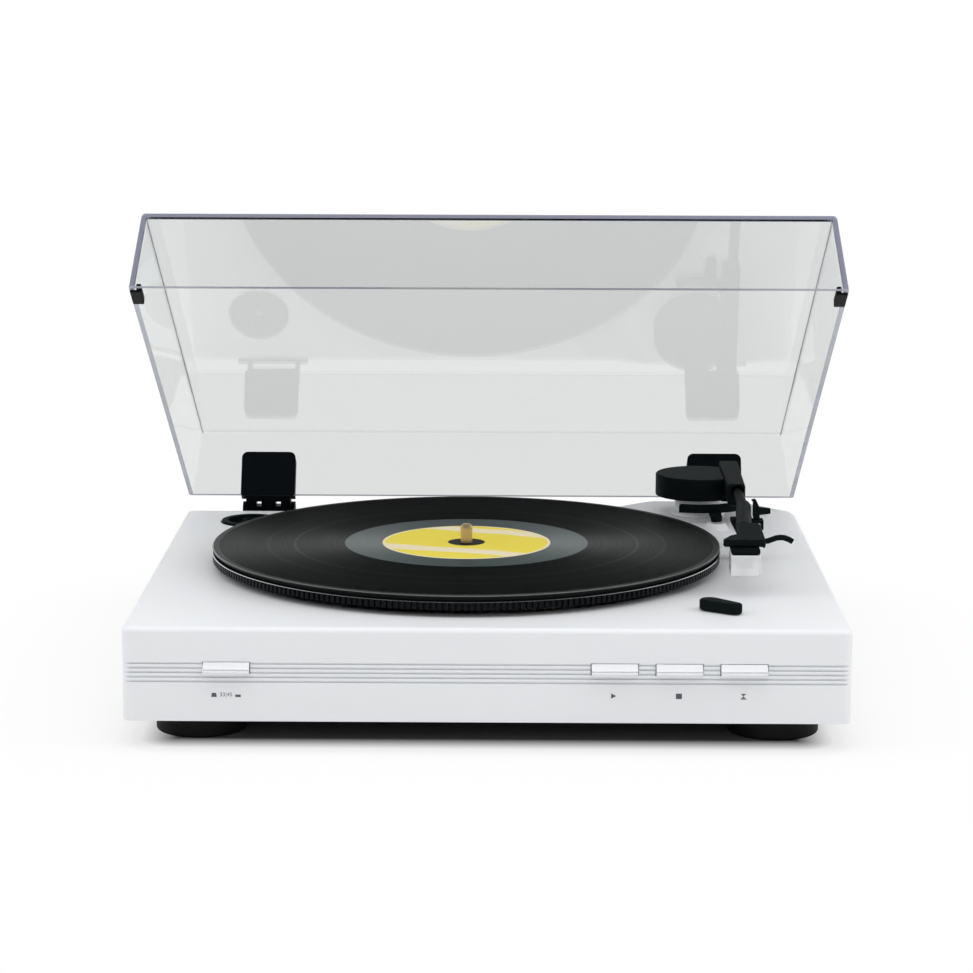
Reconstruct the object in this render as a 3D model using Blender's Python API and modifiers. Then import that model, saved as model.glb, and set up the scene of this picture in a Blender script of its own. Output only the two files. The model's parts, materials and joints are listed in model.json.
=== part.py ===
"""Automatic belt-drive turntable with its dust cover open, in metres, +Z up.

The deck frame has its origin at the middle of the plinth's front top edge, +X to
the right, +Y to the back and Z = 0 on the deck. The empty deck_frame lifts that frame
to its height over the floor and centres the whole object on the world origin.
"""

import math

import bmesh
import bpy
from mathutils import Matrix, Vector

mm = 0.001

# Clearances
seat_gap = 0.3 * mm
disc_gap = 0.1 * mm
running_gap = 0.08 * mm
overrun = 5 * mm

# Plan of the deck round the platter
platter_radius = 151 * mm
platter_left_margin = 32.9 * mm
platter_right_margin = 60.1 * mm
platter_front_margin = 25.7 * mm
platter_rear_margin = 13.3 * mm
deck_width = 2 * platter_radius + platter_left_margin + platter_right_margin
deck_depth = 2 * platter_radius + platter_front_margin + platter_rear_margin
platter_x = platter_left_margin + platter_radius - deck_width / 2
platter_y = platter_front_margin + platter_radius

# Plinth
deck_height = 52 * mm
deck_wall = 3 * mm
deck_corner_radius = 5 * mm
deck_edge_radius = 3 * mm
groove_count = 5
groove_pitch = 2.35 * mm
groove_height = 0.9 * mm
groove_depth = 0.7 * mm
groove_first_drop = 19.9 * mm
base_plate_thickness = 2.5 * mm
base_slot_count = 7
base_slot_length = 46 * mm
base_slot_width = 3 * mm
base_slot_pitch = 8 * mm
screw_post_radius = 4.5 * mm
screw_hole_radius = 1.6 * mm
screw_head_radius = 3.4 * mm
screw_post_inset = 16 * mm

# Feet
foot_radius = 26 * mm
foot_height = 15 * mm
foot_ledge_drop = 3.4 * mm
foot_ledge_step = 0.8 * mm
foot_edge_radius = 3 * mm
foot_recess_radius = 7 * mm
foot_recess_depth = 5 * mm
foot_side_inset = 38.5 * mm
foot_end_inset = 45 * mm

# Platter, mat and record
platter_rim_width = 5 * mm
platter_bottom = 4.2 * mm
platter_top = 9.0 * mm
platter_disc_thickness = 2 * mm
rib_count = 270
rib_depth = 1.1 * mm
rib_set_back = 0.35 * mm
rim_lip_height = 0.8 * mm
drive_ring_radius = 88 * mm
drive_ring_wall = 2.5 * mm
drive_ring_bottom = -4.6 * mm
hub_radius = 8.5 * mm
hub_bottom = -10.4 * mm
mat_inset = 2.5 * mm
mat_radius = platter_radius - mat_inset
mat_thickness = 1.7 * mm
mat_label_dip = 0.5 * mm
record_inset = 0.2 * mm
record_radius = platter_radius - record_inset
record_thickness = 1.5 * mm
record_bead_width = 4 * mm
record_groove_depth = 0.15 * mm
record_hole_radius = 3.65 * mm
run_out_radius = 71 * mm
label_radius = 50 * mm
label_thickness = 0.2 * mm
label_recess = 0.25 * mm

# Spindle and its bearing
spindle_radius = 3.55 * mm
spindle_top = 23.6 * mm
spindle_dome = 2.6 * mm
spindle_collar_radius = 6 * mm
spindle_collar_height = 1.2 * mm
bush_wall = 1.6 * mm
well_overhang = 11 * mm
well_radius = platter_radius - well_overhang
well_depth = 13 * mm
bearing_boss_radius = 8 * mm
bearing_boss_height = 1.2 * mm

# Drive
belt_thickness = 0.8 * mm
belt_height = 4.5 * mm
belt_bottom = -2.6 * mm
pulley_distance = 116 * mm
pulley_angle = math.radians(150)
pulley_radius = 4.4 * mm
pulley_flange = 1.4 * mm
pulley_flange_height = 1.0 * mm
motor_radius = 18 * mm
motor_height = 24 * mm
motor_neck_radius = 5 * mm
motor_neck_height = 1.5 * mm
motor_shaft_radius = 1.0 * mm
motor_shaft_depth = 14 * mm
motor_hole_radius = 9 * mm

# Automatic mechanism under the platter
pinion_teeth = 13
cam_teeth = 48
gear_module = 1.8 * mm
gear_height = 3.2 * mm
gear_bottom = -10.2 * mm
gear_mesh_gap = 0.35 * mm
cam_gap_teeth = 3
cam_gear_angle = math.radians(-48)
cam_rim_width = 5 * mm
cam_web_thickness = 1.6 * mm
cam_hub_radius = 6 * mm
cam_post_radius = 3 * mm
cam_track_radius = 26 * mm
cam_track_wall = 2 * mm

# Place of the tonearm's upright axis
arm_right_inset = 66 * mm
arm_rear_inset = 45.5 * mm
arm_x = deck_width / 2 - arm_right_inset
arm_y = deck_depth - arm_rear_inset

# Raised ground round the tonearm
mound_left_of_arm = 0.5 * mm
mound_behind_arm = 4.5 * mm
mound_x = arm_x - mound_left_of_arm
mound_y = arm_y + mound_behind_arm
mound_height = 8 * mm
mound_top_radius = 45 * mm
mound_base_radius = 78 * mm
mound_inset = 4.6 * mm
platter_moat = 3 * mm

# Tonearm
turret_radius = 27 * mm
turret_bottom = 20.3 * mm
turret_top = 34 * mm
turret_flat = 14.5 * mm
turret_edge = 1.2 * mm
pedestal_radius = 14.6 * mm
pedestal_foot_radius = 17 * mm
pedestal_foot_height = 2.5 * mm
arm_shaft_radius = 4 * mm
arm_shaft_top = 27 * mm
arm_shaft_bottom = -24 * mm
arm_shaft_collar = 7 * mm
pitch_axis_height = 29 * mm
pivot_pin_radius = 1.5 * mm
sleeve_width = 12.4 * mm
sleeve_top = 36.5 * mm
sleeve_bottom = 22.8 * mm
sleeve_front = 54.5 * mm
sleeve_rear = 32 * mm
sleeve_taper = 1.5 * mm
sleeve_edge = 1.8 * mm
sleeve_mouth_radius = 4.0 * mm
sleeve_mouth_rise = 1.4 * mm
sleeve_mouth_depth = 8 * mm
tube_radius = 3.2 * mm
tube_axis_height = 30.5 * mm
tube_insert = 18 * mm
neck_radius = 4.6 * mm
neck_rear = 99.5 * mm
neck_front = 168 * mm
neck_shift = 5 * mm
neck_socket = 9 * mm
neck_root_length = 22 * mm
neck_root_radius = 2.4 * mm
headshell_length = 42 * mm
headshell_left = 19.5 * mm
headshell_right = 4.4 * mm
headshell_bottom = 28.3 * mm
headshell_top = 34.6 * mm
headshell_nose_drop = 2.2 * mm
headshell_edge = 0.9 * mm
skirt_width = 1.3 * mm
skirt_drop = 1.2 * mm
cartridge_width = 16.4 * mm
cartridge_length = 15 * mm
cartridge_top = 28.1 * mm
cartridge_shoulder = 25.1 * mm
cartridge_waist_width = 13.6 * mm
cartridge_bottom = 20.7 * mm
cartridge_forward = 208 * mm
cartridge_left = 7.25 * mm
stylus_block_width = 9 * mm
stylus_block_length = 12 * mm
stylus_block_height = 4 * mm
stylus_tip_height = 13.4 * mm
stylus_tip_radius = 0.5 * mm
guard_width = 16.8 * mm
guard_depth = 17 * mm
guard_wall = 1.0 * mm
guard_bottom = 12.95 * mm
guard_top = 24.9 * mm
guard_travel = 12 * mm
finger_radius = 1.3 * mm
finger_start_height = 28.6 * mm
finger_reach = 16 * mm
finger_rise = 2.3 * mm

# Cueing lift under the arm
lift_bar_radius = 33 * mm
lift_bar_width = 5 * mm
lift_bar_top = 19.3 * mm
lift_bar_thickness = 4.8 * mm
lift_bar_left = math.radians(-113)
lift_bar_right = math.radians(-38)
lift_tongue_x = 8.7 * mm
lift_tongue_width = 7.6 * mm
lift_tongue_reach = 49.6 * mm
lift_tongue_drop = 1.6 * mm
lift_rod_radius = 2.2 * mm
lift_rod_reach = 45.5 * mm
lift_rod_bottom = -22 * mm
lift_boss_radius = 6 * mm
lift_boss_top = 12.3 * mm

# Armrest and its clip
rest_ahead_of_arm = 105.5 * mm
rest_y = arm_y - rest_ahead_of_arm
rest_depth = 8 * mm
rest_post_width = 7 * mm
rest_post_height = 17 * mm
rest_foot_width = 12 * mm
rest_foot_height = 2 * mm
rest_cradle_width = 15 * mm
rest_cradle_height = 8.3 * mm
rest_clearance = 0.6 * mm
rest_ear_gap = 0.3 * mm
rest_ear_thickness = 2 * mm
clip_pin_radius = 1.2 * mm
clip_pivot_out = 9 * mm
clip_pivot_height = 21.5 * mm
clip_blade_thickness = 2 * mm
clip_blade_top = 36.8 * mm
clip_hub_radius = 2.6 * mm
clip_hook = 0.8 * mm
clip_hook_height = 1.0 * mm
clip_clearance = 1.0 * mm
clip_tab_bottom = 27.2 * mm
clip_tab_height = 4.6 * mm
clip_tab_reach = 8.5 * mm

# Size lever
lever_right_inset = 74.2 * mm
lever_front_inset = 49.5 * mm
lever_x = deck_width / 2 - lever_right_inset
lever_y = lever_front_inset
lever_radius = 5.9 * mm
lever_arm_radius = 4 * mm
lever_arm_length = 17.2 * mm
lever_arm_angle = math.radians(-40)
lever_height = 6.1 * mm
lever_edge = 0.8 * mm
lever_stem_radius = 3 * mm
lever_stem_length = 12 * mm

# Front buttons
button_width = 25 * mm
button_pitch = 35 * mm
speed_button_inset = 56.7 * mm
lift_button_inset = 58.3 * mm
button_places = {
    "button_speed": speed_button_inset - deck_width / 2,
    "button_start": deck_width / 2 - lift_button_inset - 2 * button_pitch,
    "button_stop": deck_width / 2 - lift_button_inset - button_pitch,
    "button_lift": deck_width / 2 - lift_button_inset,
}
button_top = 19.2 * mm
button_height = 6.2 * mm
button_reach = 5 * mm
button_slope_drop = 3.1 * mm
button_step = 0.5 * mm
button_side_gap = 0.5 * mm
button_flange_margin = 2 * mm
button_flange_thickness = 1.6 * mm
button_stem_width = 9 * mm
button_stem_height = 3.6 * mm
button_stem_length = 18 * mm
button_travel = 3 * mm
guide_thickness = 2.4 * mm
guide_margin = 9 * mm
guide_drop = 14 * mm

# 45 adapter and its recess
adapter_left_inset = 45 * mm
adapter_rear_inset = 38 * mm
adapter_x = adapter_left_inset - deck_width / 2
adapter_y = deck_depth - adapter_rear_inset
adapter_radius = 19 * mm
adapter_hole_radius = 3.7 * mm
adapter_rim = 4 * mm
adapter_top = 1.4 * mm
adapter_web = 2.2 * mm
adapter_slot_count = 3
recess_depth = 4.6 * mm
recess_gap = 0.6 * mm
adapter_travel = 20 * mm

# Dust cover
cover_side_inset = 0.8 * mm
cover_front_inset = 1.8 * mm
cover_width = deck_width - 2 * cover_side_inset
cover_depth = deck_depth - cover_front_inset
cover_height = 45.2 * mm
cover_wall = 2.8 * mm
cover_side_draft = 5 * mm
cover_front_draft = 1.5 * mm
cover_rear_draft = 0.4 * mm
cover_edge_radius = 2.2 * mm
cover_rim_gap = 2.0 * mm
cover_open_angle = math.radians(30.07)
bumper_width = 3.6 * mm
bumper_length = 17 * mm
bumper_height = 6.5 * mm
bumper_foot = 1.7 * mm

# Cover hinges
hinge_side_inset = 52.1 * mm
hinge_x = deck_width / 2 - hinge_side_inset
hinge_behind = 15.06 * mm
hinge_below = 3.17 * mm
hinge_cap_width = 35 * mm
hinge_cap_height = 29 * mm
hinge_cap_thickness = 6.5 * mm
hinge_cap_corner = 4 * mm
hinge_neck_width = 29 * mm
hinge_neck_thickness = 5.6 * mm
hinge_barrel_radius = 5 * mm
hinge_pin_radius = 2 * mm
hinge_window_width = 3.5 * mm
hinge_window_height = 3.3 * mm
hinge_window_offset = 6.3 * mm
hinge_ear_thickness = 4 * mm
hinge_ear_radius = 6.2 * mm
hinge_plate_thickness = 4 * mm
hinge_plate_width = 46 * mm
hinge_plate_top = 1 * mm
hinge_plate_height = 26 * mm

# Electrics at the back
socket_left_inset = 109.5 * mm
socket_x = socket_left_inset - deck_width / 2
socket_pitch = 14 * mm
socket_drop = 26 * mm
socket_shell_radius = 4.1 * mm
socket_flange_radius = 5.6 * mm
socket_flange_thickness = 1.5 * mm
socket_length = 9 * mm
socket_body_depth = 9 * mm
socket_bore_radius = 1.7 * mm
switch_beside_sockets = 36 * mm
switch_x = socket_x + switch_beside_sockets
switch_slot_width = 10 * mm
switch_slot_height = 4 * mm
switch_knob_width = 4 * mm
switch_knob_height = 3.2 * mm
switch_knob_reach = 1.6 * mm
switch_travel = 4 * mm
inlet_beside_switch = 24 * mm
inlet_x = switch_x + inlet_beside_switch
inlet_width = 11 * mm
inlet_depth = 13 * mm
inlet_bore_radius = 3.2 * mm
inlet_pin_radius = 1.0 * mm
inlet_bore_depth = 9 * mm
board_width = 96 * mm
board_depth = 44 * mm
board_thickness = 1.6 * mm
board_beside_sockets = 26 * mm
board_x = socket_x + board_beside_sockets
board_drop = 34 * mm
chip_width = 14 * mm
chip_depth = 8 * mm
chip_height = 2.4 * mm
board_post_radius = 3 * mm

# Facets
disc_steps = 56
round_steps = 28
small_steps = 18
pin_steps = 10

front_reach = button_reach
hinge_y = deck_depth + hinge_behind
cover_corner = Vector((
    -hinge_behind - cover_rear_draft - cover_edge_radius,
    hinge_below + cover_rim_gap + cover_height - cover_edge_radius,
))
rear_reach = (
    hinge_y
    + cover_corner.x * math.cos(cover_open_angle)
    + cover_corner.y * math.sin(cover_open_angle)
    + cover_edge_radius
)
stand_height = deck_height + foot_height

for leftover in list(bpy.data.objects):
    bpy.data.objects.remove(leftover, do_unlink=True)


def new_collection(name):
    made = bpy.data.collections.new(name)
    bpy.context.scene.collection.children.link(made)
    return made


pieces = new_collection("automatic_turntable")
cutters = new_collection("cutters")


def finish(name, colour, roughness, metallic=0.0, alpha=1.0):
    """A plain Principled material of the piece's own colour."""
    made = bpy.data.materials.new(name)
    made.use_nodes = True
    shader = made.node_tree.nodes["Principled BSDF"]
    shader.inputs["Base Color"].default_value = (*colour, 1)
    shader.inputs["Roughness"].default_value = roughness
    shader.inputs["Metallic"].default_value = metallic
    shader.inputs["Alpha"].default_value = alpha
    return made


white_shell = finish("white_shell", (0.80, 0.81, 0.83), 0.42)
white_button = finish("white_button", (0.83, 0.84, 0.86), 0.35)
black_moulding = finish("black_moulding", (0.010, 0.014, 0.015), 0.38)
black_base = finish("black_base", (0.02, 0.02, 0.02), 0.6)
black_rubber = finish("black_rubber", (0.012, 0.012, 0.012), 0.8)
black_platter = finish("black_platter", (0.014, 0.015, 0.016), 0.35)
black_vinyl = finish("black_vinyl", (0.008, 0.008, 0.009), 0.22)
yellow_paper = finish("yellow_paper", (0.80, 0.64, 0.08), 0.55)
brass = finish("brass", (0.72, 0.50, 0.22), 0.25, 1.0)
steel = finish("steel", (0.56, 0.57, 0.58), 0.28, 1.0)
clear_cover = finish("clear_cover", (0.90, 0.93, 0.93), 0.04, 0.0, 0.25)
clear_guard = finish("clear_guard", (0.92, 0.94, 0.95), 0.15, 0.0, 0.55)
gear_nylon = finish("gear_nylon", (0.72, 0.71, 0.66), 0.5)
green_board = finish("green_board", (0.03, 0.16, 0.07), 0.5)


def empty(name, parent, location, tilt=0.0):
    """A joint's axis, or a frame that a group of pieces hangs from."""
    made = bpy.data.objects.new(name, None)
    made.location = location
    made.rotation_euler.x = tilt
    made.parent = parent
    made.empty_display_size = hinge_cap_width
    pieces.objects.link(made)
    return made


def put(name, mesh, parent, skin):
    """One object with its mesh in its parent's frame, shaded smooth but for sharp edges."""
    if mesh.polygons:
        mesh.shade_smooth()
        mesh.set_sharp_from_angle(angle=math.radians(32))
    made = bpy.data.objects.new(name, mesh)
    made.parent = parent
    if skin is None:
        made.hide_render = True
        made.display_type = "WIRE"
        cutters.objects.link(made)
    else:
        mesh.materials.append(skin)
        pieces.objects.link(made)
    return made


def from_bmesh(name, shape, parent, skin):
    mesh = bpy.data.meshes.new(name)
    shape.to_mesh(mesh)
    shape.free()
    return put(name, mesh, parent, skin)


def box(name, parent, low, high, skin=None):
    low, high = Vector(low), Vector(high)
    shape = bmesh.new()
    to_place = Matrix.Translation((low + high) / 2) @ Matrix.Diagonal((*(high - low), 1))
    bmesh.ops.create_cube(shape, size=1, matrix=to_place)
    return from_bmesh(name, shape, parent, skin)


def soft_box(name, parent, low, high, radius, skin=None, segments=2):
    """A box with all its edges rounded."""
    low, high = Vector(low), Vector(high)
    shape = bmesh.new()
    to_place = Matrix.Translation((low + high) / 2) @ Matrix.Diagonal((*(high - low), 1))
    bmesh.ops.create_cube(shape, size=1, matrix=to_place)
    round_edges(shape, shape.edges[:], radius, segments)
    return from_bmesh(name, shape, parent, skin)


def round_edges(shape, edges, radius, segments):
    bmesh.ops.bevel(
        shape, geom=edges, offset=radius, offset_type="OFFSET", segments=segments,
        profile=0.5, affect="EDGES", clamp_overlap=True, material=-1,
    )


def rod(name, parent, start, end, radius, skin=None, steps=small_steps, end_radius=None):
    """A cylinder, or a cone with an end_radius, from one point to another."""
    start, end = Vector(start), Vector(end)
    along = end - start
    turn = along.to_track_quat("Z", "Y").to_matrix().to_4x4()
    shape = bmesh.new()
    bmesh.ops.create_cone(
        shape, cap_ends=True, cap_tris=False, segments=steps,
        radius1=radius, radius2=radius if end_radius is None else end_radius,
        depth=along.length, matrix=Matrix.Translation((start + end) / 2) @ turn,
    )
    return from_bmesh(name, shape, parent, skin)


def turned(name, parent, profile, skin=None, steps=round_steps, closed=True, centre=(0, 0)):
    """A profile of (radius, height) points, clockwise, turned about the vertical axis."""
    mesh = bpy.data.meshes.new(name)
    count = len(profile)
    edges = [(i, i + 1) for i in range(count - 1)] + ([(count - 1, 0)] if closed else [])
    mesh.from_pydata([(r, 0, z) for r, z in profile], edges, [])
    made = put(name, mesh, parent, skin)
    made.location = (*centre, 0)
    screw = made.modifiers.new("turn", "SCREW")
    screw.axis = "Z"
    screw.angle = math.tau
    screw.steps = steps
    screw.render_steps = steps
    screw.use_merge_vertices = True
    screw.merge_threshold = 0.00001
    screw.use_smooth_shade = False
    return made


def ring(name, parent, inner, outer, bottom, top, skin=None, steps=round_steps, centre=(0, 0)):
    profile = [(inner, top), (outer, top), (outer, bottom), (inner, bottom)]
    return turned(name, parent, profile, skin, steps, True, centre)


def arc(centre, radius, start, end, count):
    """Points along an arc, both ends included."""
    return [
        (
            centre[0] + radius * math.cos(start + (end - start) * i / (count - 1)),
            centre[1] + radius * math.sin(start + (end - start) * i / (count - 1)),
        )
        for i in range(count)
    ]


def capsule(start, end, start_radius, end_radius, start_count=9, end_count=9):
    """The outline of a tapered bar with round ends."""
    heading = math.atan2(end[1] - start[1], end[0] - start[0])
    lean = math.asin((start_radius - end_radius) / math.dist(start, end))
    quarter = math.pi / 2
    front = arc(end, end_radius, heading - quarter + lean, heading + quarter - lean, end_count)
    back = arc(start, start_radius, heading + quarter - lean, heading + 3 * quarter + lean,
               start_count)
    return front + back


upright = Matrix.Identity(4)
across = Matrix(((0, 0, 1, 0), (1, 0, 0, 0), (0, 1, 0, 0), (0, 0, 0, 1)))
lengthways = Matrix(((1, 0, 0, 0), (0, 0, -1, 0), (0, 1, 0, 0), (0, 0, 0, 1)))


def flat(name, parent, outlines, start, end, skin=None, plane=upright):
    """Closed outlines filled as a 2D curve, thickened from start to end, as a mesh.

    The plane across has its outline in Y and Z and its thickness along X; lengthways has
    its outline in X and Z and its thickness along -Y.
    """
    curve = bpy.data.curves.new(name, "CURVE")
    curve.dimensions = "2D"
    curve.fill_mode = "BOTH"
    curve.extrude = (end - start) / 2
    for outline in outlines:
        spline = curve.splines.new("POLY")
        spline.points.add(len(outline) - 1)
        for point, (a, b) in zip(spline.points, outline):
            point.co = (a, b, 0, 1)
        spline.use_cyclic_u = True
    guide = bpy.data.objects.new(name + "_outline", curve)
    bpy.context.scene.collection.objects.link(guide)
    seen = guide.evaluated_get(bpy.context.evaluated_depsgraph_get())
    mesh = bpy.data.meshes.new_from_object(seen)
    bpy.data.objects.remove(guide)
    bpy.data.curves.remove(curve)
    mesh.materials.clear()
    shape = bmesh.new()
    shape.from_mesh(mesh)
    bpy.data.meshes.remove(mesh)
    bmesh.ops.remove_doubles(shape, verts=shape.verts, dist=0.000001)
    bmesh.ops.dissolve_limit(shape, angle_limit=math.radians(0.1), verts=shape.verts,
                             edges=shape.edges, delimit={"NORMAL"})
    bmesh.ops.translate(shape, verts=shape.verts, vec=(0, 0, (start + end) / 2))
    bmesh.ops.transform(shape, matrix=plane, verts=shape.verts)
    bmesh.ops.recalc_face_normals(shape, faces=shape.faces)
    return from_bmesh(name, shape, parent, skin)


def combine(target, operation, tool):
    tool.hide_render = True
    tool.display_type = "WIRE"
    if tool.name in pieces.objects:
        pieces.objects.unlink(tool)
        cutters.objects.link(tool)
    step = target.modifiers.new(tool.name, "BOOLEAN")
    step.operation = operation
    step.solver = "EXACT"
    step.object = tool


def cut(target, *tools):
    for tool in tools:
        combine(target, "DIFFERENCE", tool)


def join(target, *tools):
    for tool in tools:
        combine(target, "UNION", tool)


deck_frame = empty(
    "deck_frame", None, (0, -(rear_reach - front_reach) / 2, stand_height)
)
platter_at = (platter_x, platter_y)
well_floor = -well_depth
inside_front = deck_wall
inside_rear = deck_depth - deck_wall
ceiling = -deck_wall


def footprint(name, inset, bottom, top, skin=None):
    """A block with the deck's outline, drawn in by inset, with round upright edges."""
    half = deck_width / 2 - inset
    shape = bmesh.new()
    low = Vector((-half, inset, bottom))
    high = Vector((half, deck_depth - inset, top))
    to_place = Matrix.Translation((low + high) / 2) @ Matrix.Diagonal((*(high - low), 1))
    bmesh.ops.create_cube(shape, size=1, matrix=to_place)
    posts = [e for e in shape.edges if abs(e.verts[0].co.z - e.verts[1].co.z) > deck_wall / 2]
    round_edges(shape, posts, deck_corner_radius - inset / 2, 2)
    return from_bmesh(name, shape, deck_frame, skin)


def mound(name, sink, lower):
    """The low round rise under the tonearm, sunk by sink and reaching down to lower."""
    slope = (mound_base_radius - mound_top_radius) / mound_height
    top = mound_height - sink
    return turned(
        name, deck_frame,
        [
            (0, top),
            (mound_top_radius - sink, top),
            (mound_top_radius - sink + slope * (top - lower), lower),
            (0, lower),
        ],
        steps=disc_steps, closed=False, centre=(mound_x, mound_y),
    )


def rise_at(x, y):
    """The mound's height over the deck at a point clear of the platter."""
    slope = (mound_base_radius - mound_top_radius) / mound_height
    out = math.dist((x, y), (mound_x, mound_y)) - mound_top_radius
    return min(mound_height, max(0, mound_height - out / slope))


def make_deck_shell():
    shape = bmesh.new()
    low = Vector((-deck_width / 2, 0, -deck_height))
    high = Vector((deck_width / 2, deck_depth, 0))
    to_place = Matrix.Translation((low + high) / 2) @ Matrix.Diagonal((*(high - low), 1))
    bmesh.ops.create_cube(shape, size=1, matrix=to_place)
    posts = [e for e in shape.edges if abs(e.verts[0].co.z - e.verts[1].co.z) > deck_wall]
    round_edges(shape, posts, deck_corner_radius, 3)
    lip = [e for e in shape.edges if min(v.co.z for v in e.verts) > -deck_wall / 2]
    round_edges(shape, lip, deck_edge_radius, 2)
    shell = from_bmesh("deck_shell", shape, deck_frame, white_shell)
    cut(shell, footprint("deck_cavity", deck_wall, -deck_height - overrun, ceiling))

    rise = mound("arm_mound", 0, ceiling / 2)
    combine(rise, "INTERSECT", footprint("mound_limit", mound_inset, ceiling, 2 * mound_height))
    moat = platter_radius + platter_moat
    cut(rise, rod("platter_moat", deck_frame, (*platter_at, ceiling),
                  (*platter_at, mound_height + overrun), moat, steps=disc_steps))
    join(shell, rise)
    hollow = mound("mound_hollow", deck_wall, 2 * ceiling)
    combine(hollow, "INTERSECT", footprint("hollow_limit", mound_inset + deck_wall, 3 * ceiling,
                                           mound_height))
    cut(hollow, rod("hollow_moat", deck_frame, (*platter_at, 3 * ceiling),
                    (*platter_at, mound_height + overrun), moat + deck_wall, steps=disc_steps))
    cut(shell, hollow)

    pan_bottom = well_floor - deck_wall
    join(shell, rod("well_pan", deck_frame, (*platter_at, pan_bottom),
                    (*platter_at, ceiling / 2), well_radius + deck_wall, steps=disc_steps))
    cut(shell, rod("well", deck_frame, (*platter_at, well_floor),
                   (*platter_at, overrun), well_radius, steps=disc_steps))
    join(shell, rod("bearing_boss", deck_frame, (*platter_at, well_floor - deck_wall / 2),
                    (*platter_at, well_floor + bearing_boss_height), bearing_boss_radius))
    cut(shell, rod("spindle_bore", deck_frame, (*platter_at, pan_bottom - overrun),
                   (*platter_at, overrun), spindle_radius + disc_gap))

    motor_at = pulley_place()
    cut(shell, rod("motor_hole", deck_frame, (*motor_at, pan_bottom - overrun),
                   (*motor_at, 0), motor_hole_radius, steps=small_steps))
    cam_at = cam_place()
    join(shell, rod("cam_post", deck_frame, (*cam_at, well_floor - deck_wall / 2),
                    (*cam_at, gear_bottom + gear_height), cam_post_radius, steps=pin_steps))

    join(shell, rod("recess_pan", deck_frame,
                    (adapter_x, adapter_y, -recess_depth - deck_wall),
                    (adapter_x, adapter_y, ceiling / 2), adapter_radius + recess_gap + deck_wall,
                    steps=round_steps))
    cut(shell, rod("recess", deck_frame, (adapter_x, adapter_y, -recess_depth),
                   (adapter_x, adapter_y, overrun), adapter_radius + recess_gap,
                   steps=round_steps))

    boss_at = (arm_x + lift_tongue_x, arm_y - lift_rod_reach)
    join(shell, rod("lift_boss", deck_frame, (*boss_at, ceiling / 3), (*boss_at, lift_boss_top),
                    lift_boss_radius))
    cut(
        shell,
        rod("lift_bore", deck_frame, (*boss_at, 3 * ceiling), (*boss_at, lift_boss_top + overrun),
            lift_rod_radius + running_gap, steps=pin_steps),
        rod("arm_shaft_hole", deck_frame, (arm_x, arm_y, 2 * ceiling),
            (arm_x, arm_y, mound_height + overrun), arm_shaft_radius + deck_wall / 2),
        rod("lever_hole", deck_frame, (lever_x, lever_y, 2 * ceiling), (lever_x, lever_y, overrun),
            lever_stem_radius + running_gap),
    )

    for x, y in screw_places():
        join(shell, rod("screw_post", deck_frame,
                        (x, y, -deck_height + base_plate_thickness + seat_gap),
                        (x, y, rise_at(x, y) + ceiling / 2), screw_post_radius, steps=pin_steps))

    for i in range(groove_count):
        z = -groove_first_drop - i * groove_pitch
        cut(shell, box("groove", deck_frame,
                       (-deck_width / 2 - overrun, -overrun, z - groove_height / 2),
                       (deck_width / 2 + overrun, groove_depth, z + groove_height / 2)))
    for x in button_places.values():
        cut(shell, box("button_opening", deck_frame,
                       (x - button_width / 2 - button_side_gap, -overrun,
                        -button_top - button_height - seat_gap),
                       (x + button_width / 2 + button_side_gap, deck_wall + overrun,
                        -button_top + seat_gap)))

    for side in (-1, 1):
        x = socket_x + side * socket_pitch / 2
        cut(shell, rod("socket_hole", deck_frame, (x, inside_rear - overrun, -socket_drop),
                       (x, deck_depth + overrun, -socket_drop), socket_shell_radius + seat_gap))
    reach = (switch_slot_width / 2, switch_slot_height / 2)
    cut(shell, box("switch_slot", deck_frame,
                   (switch_x - reach[0], inside_rear - overrun, -socket_drop - reach[1]),
                   (switch_x + reach[0], deck_depth + overrun, -socket_drop + reach[1])))
    half = inlet_width / 2 + seat_gap
    cut(shell, box("inlet_opening", deck_frame,
                   (inlet_x - half, inside_rear - overrun, -socket_drop - half),
                   (inlet_x + half, deck_depth + overrun, -socket_drop + half)))
    return shell


def pulley_place():
    return (
        platter_x + pulley_distance * math.cos(pulley_angle),
        platter_y + pulley_distance * math.sin(pulley_angle),
    )


def gear_distance():
    """Between the platter's axis and the cam gear's."""
    return gear_module * (pinion_teeth + cam_teeth) / 2 + gear_mesh_gap


def cam_place():
    return (
        platter_x + gear_distance() * math.cos(cam_gear_angle),
        platter_y + gear_distance() * math.sin(cam_gear_angle),
    )


def screw_places():
    x = deck_width / 2 - deck_wall - screw_post_inset
    near = deck_wall + screw_post_inset
    return [(-x, near), (x, near), (-x, deck_depth - near), (x, deck_depth - near)]


def make_base_plate():
    inset = deck_wall + seat_gap
    plate = footprint("base_plate", inset, -deck_height, -deck_height + base_plate_thickness,
                      black_base)
    low, high = -deck_height - overrun, -deck_height + base_plate_thickness + overrun
    motor_at = pulley_place()
    for i in range(base_slot_count):
        y = motor_at[1] + (i - (base_slot_count - 1) / 2) * base_slot_pitch
        cut(plate, box("vent", deck_frame,
                       (motor_at[0] - base_slot_length / 2, y - base_slot_width / 2, low),
                       (motor_at[0] + base_slot_length / 2, y + base_slot_width / 2, high)))
    for x, y in screw_places():
        cut(plate, rod("base_screw_hole", deck_frame, (x, y, low), (x, y, high),
                       screw_head_radius, steps=pin_steps))
    board_bottom = -board_drop - board_thickness / 2
    for x in (-1, 1):
        for y in (-1, 1):
            at = (board_x + x * (board_width / 2 - board_post_radius),
                  board_centre_y() + y * (board_depth / 2 - board_post_radius))
            join(plate, rod("board_post", deck_frame,
                            (*at, -deck_height + base_plate_thickness / 2),
                            (*at, board_bottom - seat_gap), board_post_radius, steps=pin_steps))


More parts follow.
